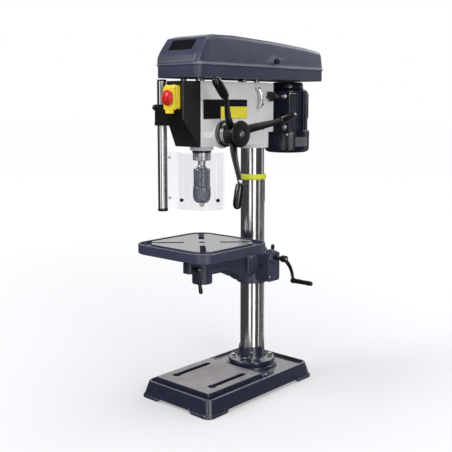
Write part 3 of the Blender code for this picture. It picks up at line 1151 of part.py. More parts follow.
def motor():
    """Motor on a plate with two slide rods, finned body, fan cover, shaft with its fan."""
    outline = rounded((-PLATE_HALF, PLATE_Z), (PLATE_HALF, PLATE_TOP), 0.014, 3)
    rings = [[(x, y, z) for x, z in outline] for y in (PLATE_Y, PLATE_Y + PLATE_THICK)]
    mount = ride(loft("motor_mount", rings, MOTOR_PAINT), MOTOR_SLIDE)
    for side in (-1, 1):
        join(mount, disc("slide_rod", ROD_R, PLATE_Y + 0.002 - ROD_REACH, PLATE_Y + 0.002,
                         at=(side * ROD_X, 0, ROD_Z), axis="Y", steps=SMALL))

    fins = []
    for fin in range(MOTOR_FINS):
        start = 360 * (fin + 0.3) / MOTOR_FINS
        for share, radius in ((0.0, MOTOR_CORE_R), (0.42, MOTOR_CORE_R), (0.5, MOTOR_R), (0.92, MOTOR_R)):
            angle = radians(start + share * 360 / MOTOR_FINS)
            fins.append((radius * cos(angle), radius * sin(angle)))
    body = ride(prism("motor_body", fins, MOTOR_Z + 0.003, MOTOR_TOP, MOTOR_PAINT, (0, MOTOR_Y, 0)),
                MOTOR_SLIDE)
    foot_y = PLATE_Y + PLATE_THICK + GAP
    join(body, block("motor_foot", (-0.068, foot_y, PLATE_Z + 0.006),
                     (0.068, foot_y + 0.036, PLATE_TOP - 0.004)),
         lathe("motor_bell", [(0, MOTOR_TOP - 0.004), (MOTOR_R - 0.002, MOTOR_TOP - 0.004),
                              (MOTOR_R - 0.002, MOTOR_TOP + 0.003),
                              (BELL_R, MOTOR_TOP + 0.008), (BELL_R, BELL_TOP - 0.006),
                              (BELL_R - 0.007, BELL_TOP), (0, BELL_TOP)],
               None, (0, MOTOR_Y, 0), "Z", ROUND),
         disc("motor_flange", FAN_R - 0.0005, MOTOR_Z + GAP, MOTOR_Z + 0.005, at=(0, MOTOR_Y, 0)),
         block("terminal_box", (-0.060, MOTOR_Y + 0.055, 0.828), (0.022, MOTOR_Y + 0.089, 0.912)))
    subtract(body, disc("motor_bore", SHAFT_R + RUN, MOTOR_Z - CUT, BELL_TOP + CUT, at=(0, MOTOR_Y, 0),
                        steps=PLAIN))
    ride(lathe("fan_cover", [(0, FAN_Z), (FAN_R - 0.016, FAN_Z), (FAN_R - 0.006, FAN_Z + 0.003),
                             (FAN_R, FAN_Z + 0.012),
                             (FAN_R, MOTOR_Z), (FAN_R - SHEET, MOTOR_Z), (FAN_R - SHEET, FAN_Z + 0.012),
                             (FAN_R - 0.016, FAN_Z + SHEET), (0, FAN_Z + SHEET)], MOTOR_PAINT,
                             (0, MOTOR_Y, 0), "Z", ROUND), MOTOR_SLIDE)
    ride(lathe("motor_shaft", [(0, 0.742), (0.055, 0.742), (0.055, 0.760), (SHAFT_R, 0.762),
                               (SHAFT_R, PULLEY_Z + STEPS * STEP - 0.004),
                               (0, PULLEY_Z + STEPS * STEP - 0.004)], STEEL, (0, MOTOR_Y, 0), "Z", SMALL),
                               MOTOR_AXIS)

    side = HEAD_HALF
    lever = ride(disc("tension_lever", 0.006, side - 0.014, side + 0.014, STEEL, (0, LEVER_Y, LEVER_Z),
                      "X", SMALL), TENSION_AXIS)
    rings = []
    for share in (0.0, 0.25, 0.5, 0.75, 1.0):
        bow = 0.010 * sin(pi * share)
        middle = (side + 0.010 + bow * 0.7 + 0.004 * share, LEVER_Y + bow * 0.3, LEVER_Z - 0.058 * share)
        radius = 0.0052 if share < 0.9 else 0.0062
        rings.append([(middle[0] + x, middle[1] + y, middle[2]) for x,
                      y in arc((0, 0), radius, 0, 330, 11)])
    join(lever, loft("tension_rod", rings, None))
    lobes = []
    for point in range(35):
        angle = 2 * pi * point / 35
        radius = 0.0135 + 0.0028 * cos(5 * angle)
        lobes.append((radius * cos(angle), radius * sin(angle)))
    knob = ride(prism("slide_lock_knob", lobes, side + 0.006, side + 0.020, BLACK_PLASTIC,
                      (0, KNOB_Y, ROD_Z), "X"), SLIDE_LOCK)
    join(knob, disc("slide_lock_screw", 0.004, ROD_X + ROD_R + 0.0008, side + 0.010, at=(0, KNOB_Y, ROD_Z),
                    axis="X", steps=TINY))


base_casting()
column_parts()
table_bracket()
lift_gears()
crank()
clamp_lever("table_clamp_lever", (0.034, SPINDLE_Y - 0.054, 0.403), -0.020, 0.036, -0.074, 0.014,
            TABLE_LOCK)
clamp_lever("bracket_clamp_lever", (0.030, 0.064, 0.372), -0.020, 0.032, 0.058, 0.004, BRACKET_LOCK)
table_arm()
table()
head_casting()
front_cover()
switch()
guard()
quill_parts()
chuck()
feed_parts()
belt_housing()
belt_drive()
motor()
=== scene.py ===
"""Looks for the bench drill press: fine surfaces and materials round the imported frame, in a plain studio."""

from math import cos, pi, radians, sin, sqrt

import bmesh
import bpy
from mathutils import Matrix, Vector


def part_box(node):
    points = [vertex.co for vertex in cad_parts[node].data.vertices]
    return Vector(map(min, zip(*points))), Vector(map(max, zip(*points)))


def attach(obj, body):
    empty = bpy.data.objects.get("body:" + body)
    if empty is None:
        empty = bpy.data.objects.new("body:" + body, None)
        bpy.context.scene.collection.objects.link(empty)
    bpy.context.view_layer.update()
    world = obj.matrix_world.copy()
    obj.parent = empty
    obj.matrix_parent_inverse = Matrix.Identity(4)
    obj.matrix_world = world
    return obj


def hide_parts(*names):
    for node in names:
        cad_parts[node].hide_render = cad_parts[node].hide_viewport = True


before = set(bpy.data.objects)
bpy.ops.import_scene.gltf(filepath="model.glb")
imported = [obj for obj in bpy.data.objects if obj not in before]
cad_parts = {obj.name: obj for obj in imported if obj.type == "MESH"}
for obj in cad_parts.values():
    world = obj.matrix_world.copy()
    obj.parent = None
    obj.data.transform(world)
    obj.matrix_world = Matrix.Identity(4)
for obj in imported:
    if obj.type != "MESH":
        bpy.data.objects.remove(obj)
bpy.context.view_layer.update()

low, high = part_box("column_tube")
COLUMN = Vector(((low.x + high.x) / 2, (low.y + high.y) / 2, 0.0))   # where the column's axis meets the floor


def box(node):
    """A CAD node's corners, measured from the column's axis."""
    low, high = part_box(node)
    return low - COLUMN, high - COLUMN


# ---------------------------------------------------------------- places, from the frame and beside it

base_low, base_high = box("base")
tube_low, tube_high = box("column_tube")
COLUMN_R = tube_high.x
FLOOR_Z = 0.042
gear_low, gear_high = box("lift_gear")
LIFT_Z = (gear_low.z + gear_high.z) / 2
GEAR_X = (gear_low.x + gear_high.x) / 2
worm_low, worm_high = box("worm_shaft")
WORM_Z = (worm_low.z + worm_high.z) / 2
TILT_Z = 0.385
TILT_FACE = -0.0598
spin_low, spin_high = box("spindle")
SPINDLE_Y = (spin_low.y + spin_high.y) / 2
table_high = box("table")[1]
TABLE_TOP = table_high.z
TABLE_Z = TABLE_TOP - 0.029
cover_low, cover_high = box("front_cover")
HEAD_FRONT = box("head_casting")[0].y
COVER_FRONT = cover_low.y
HEAD_HALF = cover_high.x
HEAD_TOP = 0.9405
shaft_low, shaft_high = box("feed_shaft")
FEED_Y = (shaft_low.y + shaft_high.y) / 2
FEED_Z = (shaft_low.z + shaft_high.z) / 2
STOP_Z = (box("stop_knob")[0].z + box("stop_knob")[1].z) / 2
tray_low = box("belt_tray")[0]
lid_low, lid_high = box("belt_lid")
CHUCK_TOP = box("chuck_body")[1].z
SEAM_Z = lid_low.z
TRAY_HALF = lid_high.x
TRAY_FRONT, TRAY_REAR = lid_low.y, lid_high.y
post_low, post_high = box("guard_post")
POST = Vector(((post_low.x + post_high.x) / 2, (post_low.y + post_high.y) / 2, 0))
guard_low, guard_high = box("guard_shield")

SPINDLE = (0, SPINDLE_Y, 0)
FEED_AXLE = (0, FEED_Y, FEED_Z)
TABLE_LOCK_Y, TABLE_LOCK_Z = SPINDLE_Y - 0.054, 0.403
BRACKET_LOCK_Y, BRACKET_LOCK_Z = 0.064, 0.372
SLIDE_LOCK_Y, RODS_X, RODS_Z = 0.014, 0.03, 0.9
TENSION_Y, TENSION_Z = -0.043, 0.92
POST_LOCK_Z = 0.866
GUARD_SCREW_Z = 0.603
GUARD_SCREW_ANGLES = (262.0, 352.0)
LID_KNOB_Y, LID_KNOB_Z = 0.004, 1.004


# ---------------------------------------------------------------- materials

class Nodes:
    """A small builder for a material's node tree."""

    def __init__(self, name):
        self.material = bpy.data.materials.new(name)
        self.material.use_nodes = True
        self.tree = self.material.node_tree
        self.shader = self.tree.nodes["Principled BSDF"]
        self.place = self.add("ShaderNodeTexCoord").outputs["Object"]

    def add(self, kind, **values):
        node = self.tree.nodes.new(kind)
        for key, value in values.items():
            setattr(node, key, value)
        return node

    def link(self, start, end):
        self.tree.links.new(start, end)

    def mapped(self, scale=(1, 1, 1)):
        node = self.add("ShaderNodeMapping")
        node.inputs["Scale"].default_value = scale
        self.link(self.place, node.inputs["Vector"])
        return node.outputs["Vector"]

    def noise(self, scale, detail=3.0, stretch=(1, 1, 1)):
        node = self.add("ShaderNodeTexNoise")
        node.inputs["Scale"].default_value = scale
        node.inputs["Detail"].default_value = detail
        node.inputs["Roughness"].default_value = 0.55
        self.link(self.mapped(stretch), node.inputs["Vector"])
        return node.outputs["Fac"]

    def spread(self, value, low, high, start=0.3, end=0.7):
        """Map a value from start..end to low..high."""
        node = self.add("ShaderNodeMapRange")
        for key, number in (("From Min", start), ("From Max", end), ("To Min", low), ("To Max", high)):
            node.inputs[key].default_value = number
        self.link(value, node.inputs["Value"])
        return node.outputs["Result"]

    def mix(self, factor, first, second):
        node = self.add("ShaderNodeMix", data_type="RGBA")
        for socket, value in ((node.inputs[6], first), (node.inputs[7], second)):
            if isinstance(value, tuple):
                socket.default_value = (*value, 1.0)
            else:
                self.link(value, socket)
        self.link(factor, node.inputs[0])
        return node.outputs[2]

    def bump(self, height, distance, strength=1.0):
        node = self.add("ShaderNodeBump")
        node.inputs["Distance"].default_value = distance
        node.inputs["Strength"].default_value = strength
        self.link(height, node.inputs["Height"])
        return node.outputs["Normal"]

    def edges(self, low, high):
        """How far a place is a sharp outer edge, from 0 to 1."""
        return self.spread(self.add("ShaderNodeNewGeometry").outputs["Pointiness"], 0.0, 1.0, low, high)

    def set(self, **values):
        for key, value in values.items():
            socket = self.shader.inputs[key.replace("_", " ")]
            if isinstance(value, bpy.types.NodeSocket):
                self.link(value, socket)
            else:
                socket.default_value = value
        return self.material


def paint(name, colour, rough, grain=900.0, depth=0.00012, edge_wear_and_highlight=None, blotch=0.12, coat=0.0):
    """Sprayed paint: fine orange peel, slow changes of shade, and sharp edges painted lighter, partly as
    rubbed paint and partly as a painted edge highlight.
    """
    n = Nodes(name)
    light = tuple(min(1.0, c * (1 + blotch) + 0.002) for c in colour)
    dark = tuple(c * (1 - blotch) for c in colour)
    shade = n.mix(n.spread(n.noise(14.0, 4.0), 0, 1), dark, light)
    # Sharp edges take a lighter colour: partly rubbed paint, partly a painted edge highlight.
    if edge_wear_and_highlight:
        shade = n.mix(n.edges(0.54, 0.62), shade, edge_wear_and_highlight)
    peel = n.bump(n.noise(grain, 2.0), depth, 0.6)
    return n.set(Base_Color=shade, Roughness=n.spread(n.noise(60.0), rough - 0.06, rough + 0.08),
        Normal=peel, Coat_Weight=coat, Coat_Roughness=0.15)


def metal(name, colour, rough, stretch=(1, 1, 1), scale=300.0, depth=0.00004, change=0.12):
    """Bare metal with drawn or turned streaks."""
    n = Nodes(name)
    streak = n.noise(scale, 4.0, stretch)
    shade = n.mix(n.spread(streak, 0, 1), tuple(c * (1 - change) for c in colour), colour)
    return n.set(Base_Color=shade, Metallic=1.0, Roughness=n.spread(streak, rough - 0.05, rough + 0.08),
        Normal=n.bump(streak, depth, 0.5))


def plastic(name, colour, rough, grain=1200.0, depth=0.00006):
    n = Nodes(name)
    shade = n.mix(n.spread(n.noise(25.0), 0, 1), tuple(c * 0.9 for c in colour),
        tuple(min(1, c * 1.08) for c in colour))
    return n.set(Base_Color=shade, Roughness=n.spread(n.noise(90.0), rough - 0.05, rough + 0.07),
        Normal=n.bump(n.noise(grain, 2.0), depth, 0.5))


def mottled(name, dark, light, rough):
    """Machined iron with oil marks: fine cutting lines under broad uneven patches."""
    n = Nodes(name)
    patch = n.noise(11.0, 5.0)
    lines = n.noise(420.0, 3.0, (0.04, 1, 1))
    shade = n.mix(n.spread(patch, 0, 1), dark, light)
    return n.set(Base_Color=shade, Metallic=0.85, Roughness=n.spread(patch, rough - 0.14, rough + 0.16),
        Normal=n.bump(lines, 0.00004, 0.5))


# The base and housing paints carry a lighter edge colour: rubbed paint and a painted edge highlight.
BASE_PAINT = paint("base_paint", (0.0125, 0.015, 0.04), 0.36, 700.0, 0.00022, (0.24, 0.25, 0.3), coat=1.0)
HOUSING_PAINT = paint("housing_paint", (0.04, 0.045, 0.08), 0.36, 700.0, 0.00025, (0.36, 0.37, 0.43))
CASTING_PAINT = paint("casting_paint", (0.04, 0.045, 0.08), 0.36, 700.0, 0.00025)
HEAD_PAINT = paint("head_paint", (0.69, 0.69, 0.69), 0.34, 900.0, 0.0001, None, 0.03)
MOTOR_PAINT = paint("motor_paint", (0.006, 0.008, 0.02), 0.22, 900.0, 0.0001, None, 0.2)
BLACK = plastic("black_plastic", (0.0035, 0.0035, 0.0045), 0.36, 700.0, 0.00008)
GLOSS_BLACK = plastic("gloss_black", (0.006, 0.006, 0.008), 0.16, 800.0, 0.00002)
CHROME = metal("column_chrome", (0.7, 0.69, 0.69), 0.15, (1, 1, 0.03), 420.0, 0.000008)
STEEL = metal("bright_steel", (0.62, 0.61, 0.61), 0.26, (1, 1, 1), 500.0)
GROUND = metal("ground_iron", (0.42, 0.42, 0.44), 0.34, (0.05, 1, 1), 380.0, 0.00005, 0.25)
PAD_IRON = mottled("pad_iron", (0.16, 0.15, 0.16), (0.46, 0.44, 0.46), 0.4)
DARK_STEEL = metal("dark_steel", (0.1, 0.1, 0.11), 0.3, (1, 1, 0.15), 420.0, 0.00004, 0.3)
ALUMINIUM = metal("pulley_aluminium", (0.66, 0.66, 0.68), 0.3, (1, 1, 0.2), 300.0)
YELLOW = plastic("yellow_plastic", (0.87, 0.66, 0.03), 0.32)
RED = plastic("red_plastic", (0.62, 0.008, 0.01), 0.26)
GREEN = plastic("green_plastic", (0.02, 0.3, 0.06), 0.3)
RING_YELLOW = plastic("ring_yellow", (0.72, 0.74, 0.02), 0.42)
CHUCK_STEEL = metal("chuck_steel", (0.15, 0.16, 0.2), 0.14, (1, 1, 0.1), 420.0, 0.00003, 0.25)
WHITE = plastic("white_label", (0.93, 0.93, 0.93), 0.42)
PLATE_YELLOW = plastic("plate_yellow", (0.86, 0.72, 0.03), 0.4)
LABEL = plastic("label", (0.1, 0.1, 0.11), 0.35)
RUBBER = plastic("belt_rubber", (0.012, 0.012, 0.012), 0.65, 600.0, 0.0002)


def clear_plastic():
    n = Nodes("clear_plastic")
    haze = n.spread(n.noise(8.0, 3.0), 0.04, 0.1)
    veil = n.spread(n.noise(22.0, 4.0, (1, 1, 0.4)), 0.05, 0.09)
    return n.set(Base_Color=(0.29, 0.31, 0.39, 1.0), Roughness=haze, Alpha=veil, Specular_IOR_Level=1.0,
        Normal=n.bump(n.noise(30.0, 2.0), 0.0002, 0.2))


CLEAR = clear_plastic()
# Opaque grey-blue for the clear sheet's cut edges: a painted reflection.
CLEAR_EDGE_REFLECTION = plastic("clear_plastic_edge_painted_reflection", (0.42, 0.46, 0.56), 0.2)

for names, surface in ((("base", "column_flange"), BASE_PAINT),
        (("table_bracket", "table_arm", "table", "belt_tray", "belt_lid"), HOUSING_PAINT),
        (("head_casting",), HEAD_PAINT), (("motor_mount", "motor_body", "fan_cover"), MOTOR_PAINT),
        (("crank_arm", "crank_grip", "bracket_clamp_lever", "table_clamp_lever", "front_cover",
        "post_bracket", "post_foot", "post_lock_knob", "feed_hub", "feed_arm_1", "feed_arm_2", "feed_arm_3",
        "feed_grip_1", "feed_grip_2", "feed_grip_3", "lid_knob", "slide_lock_knob"), BLACK),
        (("column_tube", "guard_post", "tension_lever"), CHROME), (("column_rack", "quill", "spindle",
        "chuck_jaw_1", "chuck_jaw_2", "chuck_jaw_3", "feed_shaft", "depth_dial", "motor_shaft"), STEEL),
        (("spindle_pulley", "idler_pulley", "motor_pulley"), ALUMINIUM), (("lift_gear", "worm_shaft",
        "tilt_bolt", "quill_bearing", "chuck_body", "chuck_sleeve", "spring_housing"), DARK_STEEL),
        (("switch_box", "switch_flap"), YELLOW), (("stop_knob", "stop_button"), RED),
        (("start_button",), GREEN), (("rack_ring",), RING_YELLOW),
        (("guard_shield", "guard_extension"), CLEAR), (("front_belt", "rear_belt"), RUBBER)):
    for name in names:
        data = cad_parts[name].data
        data.materials.clear()
        data.materials.append(surface)


# ---------------------------------------------------------------- mesh tools

FINE, ROUND, PLAIN, SMALL = 112, 72, 40, 24   # steps round a turned body, by its size
GAP = 0.0003    # between pieces that seat on each other
CUT = 0.002     # how far a cutter passes a face
ALONG = {"Z": (0.0, 0.0, 0.0), "X": (0.0, pi / 2, 0.0), "Y": (-pi / 2, 0.0, 0.0)}


def make(name, shape, surface, at=(0, 0, 0), axis="Z"):
    """An object from a bmesh, placed from the column's axis, with its local Z along the given axis."""
    bmesh.ops.recalc_face_normals(shape, faces=shape.faces)
    mesh = bpy.data.meshes.new(name)
    shape.to_mesh(mesh)
    shape.free()
    made = bpy.data.objects.new(name, mesh)
    bpy.context.scene.collection.objects.link(made)
    made.location = COLUMN + Vector(at)
    made.rotation_euler = ALONG[axis]
    if surface:
        mesh.materials.append(surface)
    return made


def soften(outline, radius=0.0008, sharp=24.0, steps=3):
    """Round the sharp corners of a closed outline; a corner on the axis stays."""
    made = []
    for index, point in enumerate(outline):
        here = Vector(point)
        back = Vector(outline[index - 1]) - here
        on = Vector(outline[(index + 1) % len(outline)]) - here
        if here.x == 0 or min(back.length, on.length) < 1e-7 or pi - back.angle(on) < radians(sharp):
            made.append(tuple(here))
            continue
        reach = min(radius, 0.45 * back.length, 0.45 * on.length)
        start = here + back.normalized() * reach
        end = here + on.normalized() * reach
        for step in range(steps + 1):
            t = step / steps
            made.append(tuple(start * (1 - t) ** 2 + here * (2 * t * (1 - t)) + end * t * t))
    return made


def lathe(name, profile, surface, at=(0, 0, 0), axis="Z", steps=ROUND, soft=0.0008):
    """A body turned from a closed profile of radius and height, its corners softened."""
    shape = bmesh.new()
    profile = soften(profile, soft) if soft else profile
    points = [shape.verts.new((r, 0, z)) for r, z in profile]
    edges = [shape.edges.new((here, after)) for here, after in zip(points, points[1:] + points[:1])
        if here.co.x > 0 or after.co.x > 0]
    bmesh.ops.spin(shape, geom=points + edges, cent=(0, 0, 0), axis=(0, 0, 1), angle=2 * pi, steps=steps,
        use_merge=True)
    bmesh.ops.remove_doubles(shape, verts=shape.verts, dist=1e-6)
    return make(name, shape, surface, at, axis)


def solid(name, profile, *place, **options):
    """A turned body with flat ends; the profile leaves out its two points on the axis."""
    return lathe(name, [(0, profile[0][1]), *profile, (0, profile[-1][1])], *place, **options)


def loft(name, rings, surface, at=(0, 0, 0), axis="Z"):
    """A closed skin over rings with the same number of points."""
    shape = bmesh.new()
    rows = [[shape.verts.new(point) for point in ring] for ring in rings]
    for below, above in zip(rows, rows[1:]):
        for here in range(len(below)):
            after = (here + 1) % len(below)
            shape.faces.new((below[here], below[after], above[after], above[here]))
    shape.faces.new(rows[0])
    shape.faces.new(rows[-1])
    return make(name, shape, surface, at, axis)


def prism(name, outline, low, high, surface, at=(0, 0, 0), axis="Z"):
    return loft(name, [[(x, y, z) for x, y in outline] for z in (low, high)], surface, at, axis)


def disc(name, radius, low, high, surface=None, at=(0, 0, 0), axis="Z", steps=ROUND):
    return solid(name, [(radius, low), (radius, high)], surface, at, axis, steps, 0)


def block(name, low, high):
    """A box-shaped cutter between two corners."""
    outline = [(low[0], low[1]), (high[0], low[1]), (high[0], high[1]), (low[0], high[1])]
    return prism(name, outline, low[2], high[2], None)


def arc(centre, radius, start, end, steps):
    """Points on an arc, by its start and end in degrees."""
    angles = [radians(start + (end - start) * i / steps) for i in range(steps + 1)]
    return [(centre[0] + radius * cos(a), centre[1] + radius * sin(a)) for a in angles]


def rounded(low, high, radius, steps=8):
    """A rectangle's outline with round corners."""
    spots = (((low[0] + radius, low[1] + radius), 180), ((high[0] - radius, low[1] + radius), 270),
        ((high[0] - radius, high[1] - radius), 0), ((low[0] + radius, high[1] - radius), 90))
    return [point for spot, turn in spots for point in arc(spot, radius, turn, turn + 90, steps)]


def layers(low, high, radius, steps, levels, upright=False, shrink=0):
    """Rounded outlines, each with its own inset and level; upright ones stand along Y, others lie along Z."""
    made = []
    for inset, level in levels:
        corners = (low[0] + inset, low[1] + inset), (high[0] - inset, high[1] - inset)
        outline = rounded(*corners, radius - inset * shrink, steps)
        made.append([(a, level, b) if upright else (a, b, level) for a, b in outline])
    return made


def stadium(low, high, half, steps=12):
    """A slot's outline along Y with round ends."""
    return arc((0, low + half), half, 180, 360, steps) + arc((0, high - half), half, 0, 180, steps)


def rod(name, path, radii, surface, steps=20, flat=1.0):
    """A round bar along a path; flat narrows it across the first direction."""
    rows = []
    side = Vector((1, 0, 0))
    for index, point in enumerate(path):
        before = Vector(path[max(index - 1, 0)])
        after = Vector(path[min(index + 1, len(path) - 1)])
        run = (after - before).normalized()
        side = (side - run * side.dot(run))
        if side.length < 1e-4:
            side = Vector((0, 1, 0)) - run * run.y
        side.normalize()
        over = run.cross(side)
        rows.append([Vector(point) + (side * cos(a) * flat + over * sin(a)) * radii[index]
            for a in (2 * pi * k / steps for k in range(steps))])
    return loft(name, rows, surface)


def dome(start, direction, radius):
    """Points and radii that close a bar's end with a half ball."""
    made = []
    for step in range(6):
        angle = pi / 2 * step / 5
        made.append((Vector(start) + Vector(direction) * radius * sin(angle),
            max(radius * cos(angle), radius * 0.04)))
    return made


def facing(piece, at, direction):
    """Put a piece at a place with its local Z along a direction."""
    piece.location = COLUMN + Vector(at)
    piece.rotation_euler = Vector(direction).to_track_quat("Z", "Y").to_euler()
    return piece


def outward(angle):
    """The level direction at an angle from +X, in degrees."""
    return (cos(radians(angle)), sin(radians(angle)), 0)


def boolean(piece, tools, operation):
    group = bpy.data.collections.new(piece.name + "_" + operation.lower())
    bpy.context.scene.collection.children.link(group)
    for tool in tools:
        bpy.context.scene.collection.objects.unlink(tool)
        group.objects.link(tool)
    step = piece.modifiers.new("cut", "BOOLEAN")
    step.operation = operation
    step.operand_type = "COLLECTION"
    step.collection = group
    step.solver = "EXACT"
    step.material_mode = "TRANSFER" if operation == "UNION" else "INDEX"
    bake(piece)
    for tool in tools:
        bpy.data.objects.remove(tool, do_unlink=True)
    bpy.data.collections.remove(group)
    return piece


def subtract(piece, *tools):
    return boolean(piece, tools, "DIFFERENCE")


def join(piece, *tools):
    return boolean(piece, tools, "UNION")


def bake(piece):
    """Put what the modifiers make into the mesh."""
    graph = bpy.context.evaluated_depsgraph_get()
    mesh = bpy.data.meshes.new_from_object(piece.evaluated_get(graph))
    piece.modifiers.clear()
    piece.data = mesh


def show(piece, body, *nodes, bevel=0.0, steps=2, sharp=38.0):
    """Round the edges, shade smoothly and let the piece stand for CAD nodes on a body."""
    if bevel:
        edge = piece.modifiers.new("edge", "BEVEL")
        edge.width = bevel
        edge.segments = steps
        edge.limit_method = "ANGLE"
        edge.angle_limit = radians(38.0)
        edge.use_clamp_overlap = True
        bake(piece)
    piece.data.shade_smooth()
    piece.data.set_sharp_from_angle(angle=radians(sharp))
    if bevel:
        flat = piece.modifiers.new("flat", "WEIGHTED_NORMAL")
        flat.keep_sharp = True
        bake(piece)
    if nodes:
        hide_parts(*nodes)
    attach(piece, body)
    return piece


def hex_bolt(name, at, axis, body, across=0.01, head=0.0055, washer=0.0078, flip=1):
    """A hexagon head with a chamfered crown on a washer; flip turns it to face the other way."""
    ring = solid(name + "_washer", [(washer, 0), (washer, 0.0012 * flip)], STEEL, at, axis, SMALL, 0.0003)
    show(ring, body)
    six = [(across / sqrt(3) * cos(pi / 3 * k + 0.3), across / sqrt(3) * sin(pi / 3 * k + 0.3))
        for k in range(6)]
    rings = [[(x * s, y * s, z * flip) for x, y in six]
        for s, z in ((1.0, 0.0012), (1.0, head - 0.0008), (0.9, head))]
    show(loft(name, rings, STEEL, at, axis), body, bevel=0.0003)


def screw(name, at, axis, body, radius=0.004, height=0.0022, flip=1):
    """A pan head with a hexagon socket."""
    profile = [(radius, 0), (radius, height * 0.6 * flip), (radius * 0.7, height * flip)]
    head = solid(name, profile, STEEL, at, axis, SMALL, 0.0005)
    six = [(radius * 0.45 * cos(pi / 3 * k), radius * 0.45 * sin(pi / 3 * k)) for k in range(6)]
    ends = sorted((height * 0.35 * flip, height * 1.4 * flip))
    subtract(head, prism(name + "_socket", six, ends[0], ends[1], None, at, axis))
    show(head, body)


# ---------------------------------------------------------------- base and column

def swap_axes(piece, order):
    """Exchange a mesh's axes and turn its faces outward again."""
    rows = [[float(column == source) for column in range(3)] + [0.0] for source in order]
    shape = bmesh.new()
    shape.from_mesh(piece.data)
    shape.transform(Matrix((*rows, (0, 0, 0, 1))))
    bmesh.ops.recalc_face_normals(shape, faces=shape.faces)
    shape.to_mesh(piece.data)
    shape.free()


def base():
    """A hollow casting: raised rim, ground pad with two slots, column boss and two bolt lugs."""
    middle = (base_low.y + base_high.y) / 2
    half = (base_high.x, (base_high.y - base_low.y) / 2)
    pad_top = base_high.z

    def outline(inset, z, radius=0.022):
        low = (-half[0] + inset, middle - half[1] + inset)
        high = (half[0] - inset, middle + half[1] - inset)
        return [(x, y, z) for x, y in rounded(low, high, radius, 10)]

    levels = ((0.0012, 0.0), (0.0, 0.0012), (0.0, 0.0062), (0.0008, 0.0078), (0.0024, 0.0088),
        (0.0034, 0.0108), (0.0078, 0.03), (0.0124, 0.048), (0.0132, 0.0494), (0.0145, 0.05))
    shell = loft("base_fine", [outline(inset, z) for inset, z in levels], BASE_PAINT)
    rings = [outline(0.0205, FLOOR_Z, 0.016), outline(0.02, FLOOR_Z + 0.002, 0.016),
        outline(0.0186, 0.0488, 0.016), outline(0.0172, 0.05, 0.017), outline(0.017, 0.053, 0.017)]
    floor = loft("cut_floor", rings, None)
    subtract(shell, floor)
    steps = ((-0.004, FLOOR_Z - 0.001), (-0.0015, FLOOR_Z + 0.002), (-0.0004, pad_top - 0.002),
        (0.0008, pad_top - 0.0004), (0.0018, pad_top))
    pad = loft("pad", layers((-0.108, -0.318), (0.108, -0.082), 0.006, 6, steps), BASE_PAINT)
    pad.data.materials.append(PAD_IRON)
    max(pad.data.polygons, key=lambda face: face.center.z + face.area).material_index = 1
    profile = [(0, FLOOR_Z - 0.004), (0.082, FLOOR_Z - 0.001), (0.0787, FLOOR_Z + 0.003), (0.0772, 0.0525),
        (0.0757, 0.054), (0, 0.054)]
    raised = [pad, lathe("boss", profile, BASE_PAINT, steps=FINE)]
    border = [(middle - 0.173, -0.003), (middle + 0.173, -0.003), (middle + 0.161, 0.0092),
        (middle - 0.161, 0.0092)]
    cuts = [loft("cut_under", [outline(0.008, -CUT, 0.014), outline(0.021, 0.034, 0.014)], None),
        prism("arch_front", [(-0.074, -CUT), (0.074, -CUT), (0.062, 0.009), (-0.062, 0.009)], -0.4, 0.2,
            None),
        prism("arch_side", border, -0.2, 0.2, None)]
    swap_axes(cuts[1], (0, 2, 1))
    swap_axes(cuts[2], (2, 0, 1))
    lug_x, lug_y, slot_x = 0.101, -0.066, 0.073
    for side in (-1, 1):
        spot = (side * lug_x, lug_y, 0)
        profile = [(0, FLOOR_Z - 0.004), (0.017, FLOOR_Z - 0.001), (0.015, FLOOR_Z + 0.002),
            (0.014, FLOOR_Z + 0.009), (0.013, FLOOR_Z + 0.01), (0, FLOOR_Z + 0.01)]
        raised.append(lathe("lug", profile, BASE_PAINT, spot, steps=PLAIN))
        cuts.append(disc("lug_hole", 0.0065, 0.01, 0.07, None, spot, steps=PLAIN))
        cuts.append(prism("slot", stadium(-0.277, -0.119, 0.009), 0.01, 0.09, None, (side * slot_x, 0, 0)))
        cuts.append(disc("slot_eye", 0.0125, 0.01, 0.09, None, (side * slot_x, -0.266, 0), steps=PLAIN))
    join(shell, *raised)
    subtract(shell, *cuts)
    show(shell, "base", "base", bevel=0.0007)


def rivets():
    """Two rivets on the edge of the base."""
    for name, at, axis in (("rivet_front", (0.058, base_low.y + 0.0042, 0.0125), "Y"),
            ("rivet_side", (base_high.x - 0.0042, -0.285, 0.0125), "X")):
        flip = -1 if axis == "Y" else 1
        profile = [(0, -0.001 * flip), (0.0022, -0.001 * flip), (0.0016, 0.0009 * flip), (0, 0.0013 * flip)]
        show(lathe(name, profile, STEEL, at, axis, SMALL, 0.0002), "base")


def column():
    """The flange that holds the column, with its bolts and set screw."""
    low, high = box("column_flange")
    top = low.z + 0.017
    bore = COLUMN_R + GAP
    profile = [(0.03, low.z), (0.0735, low.z), (0.0735, top - 0.002), (0.072, top), (0.049, top + 0.0002),
        (0.0445, top + 0.002), (0.0418, top + 0.0065), (0.041, top + 0.012), (0.041, high.z - 0.002),
        (0.0395, high.z), (bore, high.z), (bore, low.z + 0.003), (0.03, low.z + 0.003)]
    flange = lathe("column_flange_fine", profile, BASE_PAINT, steps=FINE)
    show(flange, "base", "column_flange")
    column_screws(top)


def column_screws(top):
    """Four bolts on the flange, and the set screw in its collar."""
    for index in range(4):
        angle = radians(45 + 90 * index)
        hex_bolt("flange_bolt_%d" % index, (0.0585 * cos(angle), 0.0585 * sin(angle), top), "Z", "base",
            0.0125, 0.0085, 0.0092)
    out = outward(-50)
    stud = solid("collar_screw", [(0.0036, -0.002), (0.0036, 0.0012), (0.0024, 0.0022)], STEEL, steps=SMALL,
        soft=0.0004)
    show(facing(stud, (0.041 * out[0], 0.041 * out[1], 0.094), out), "base")


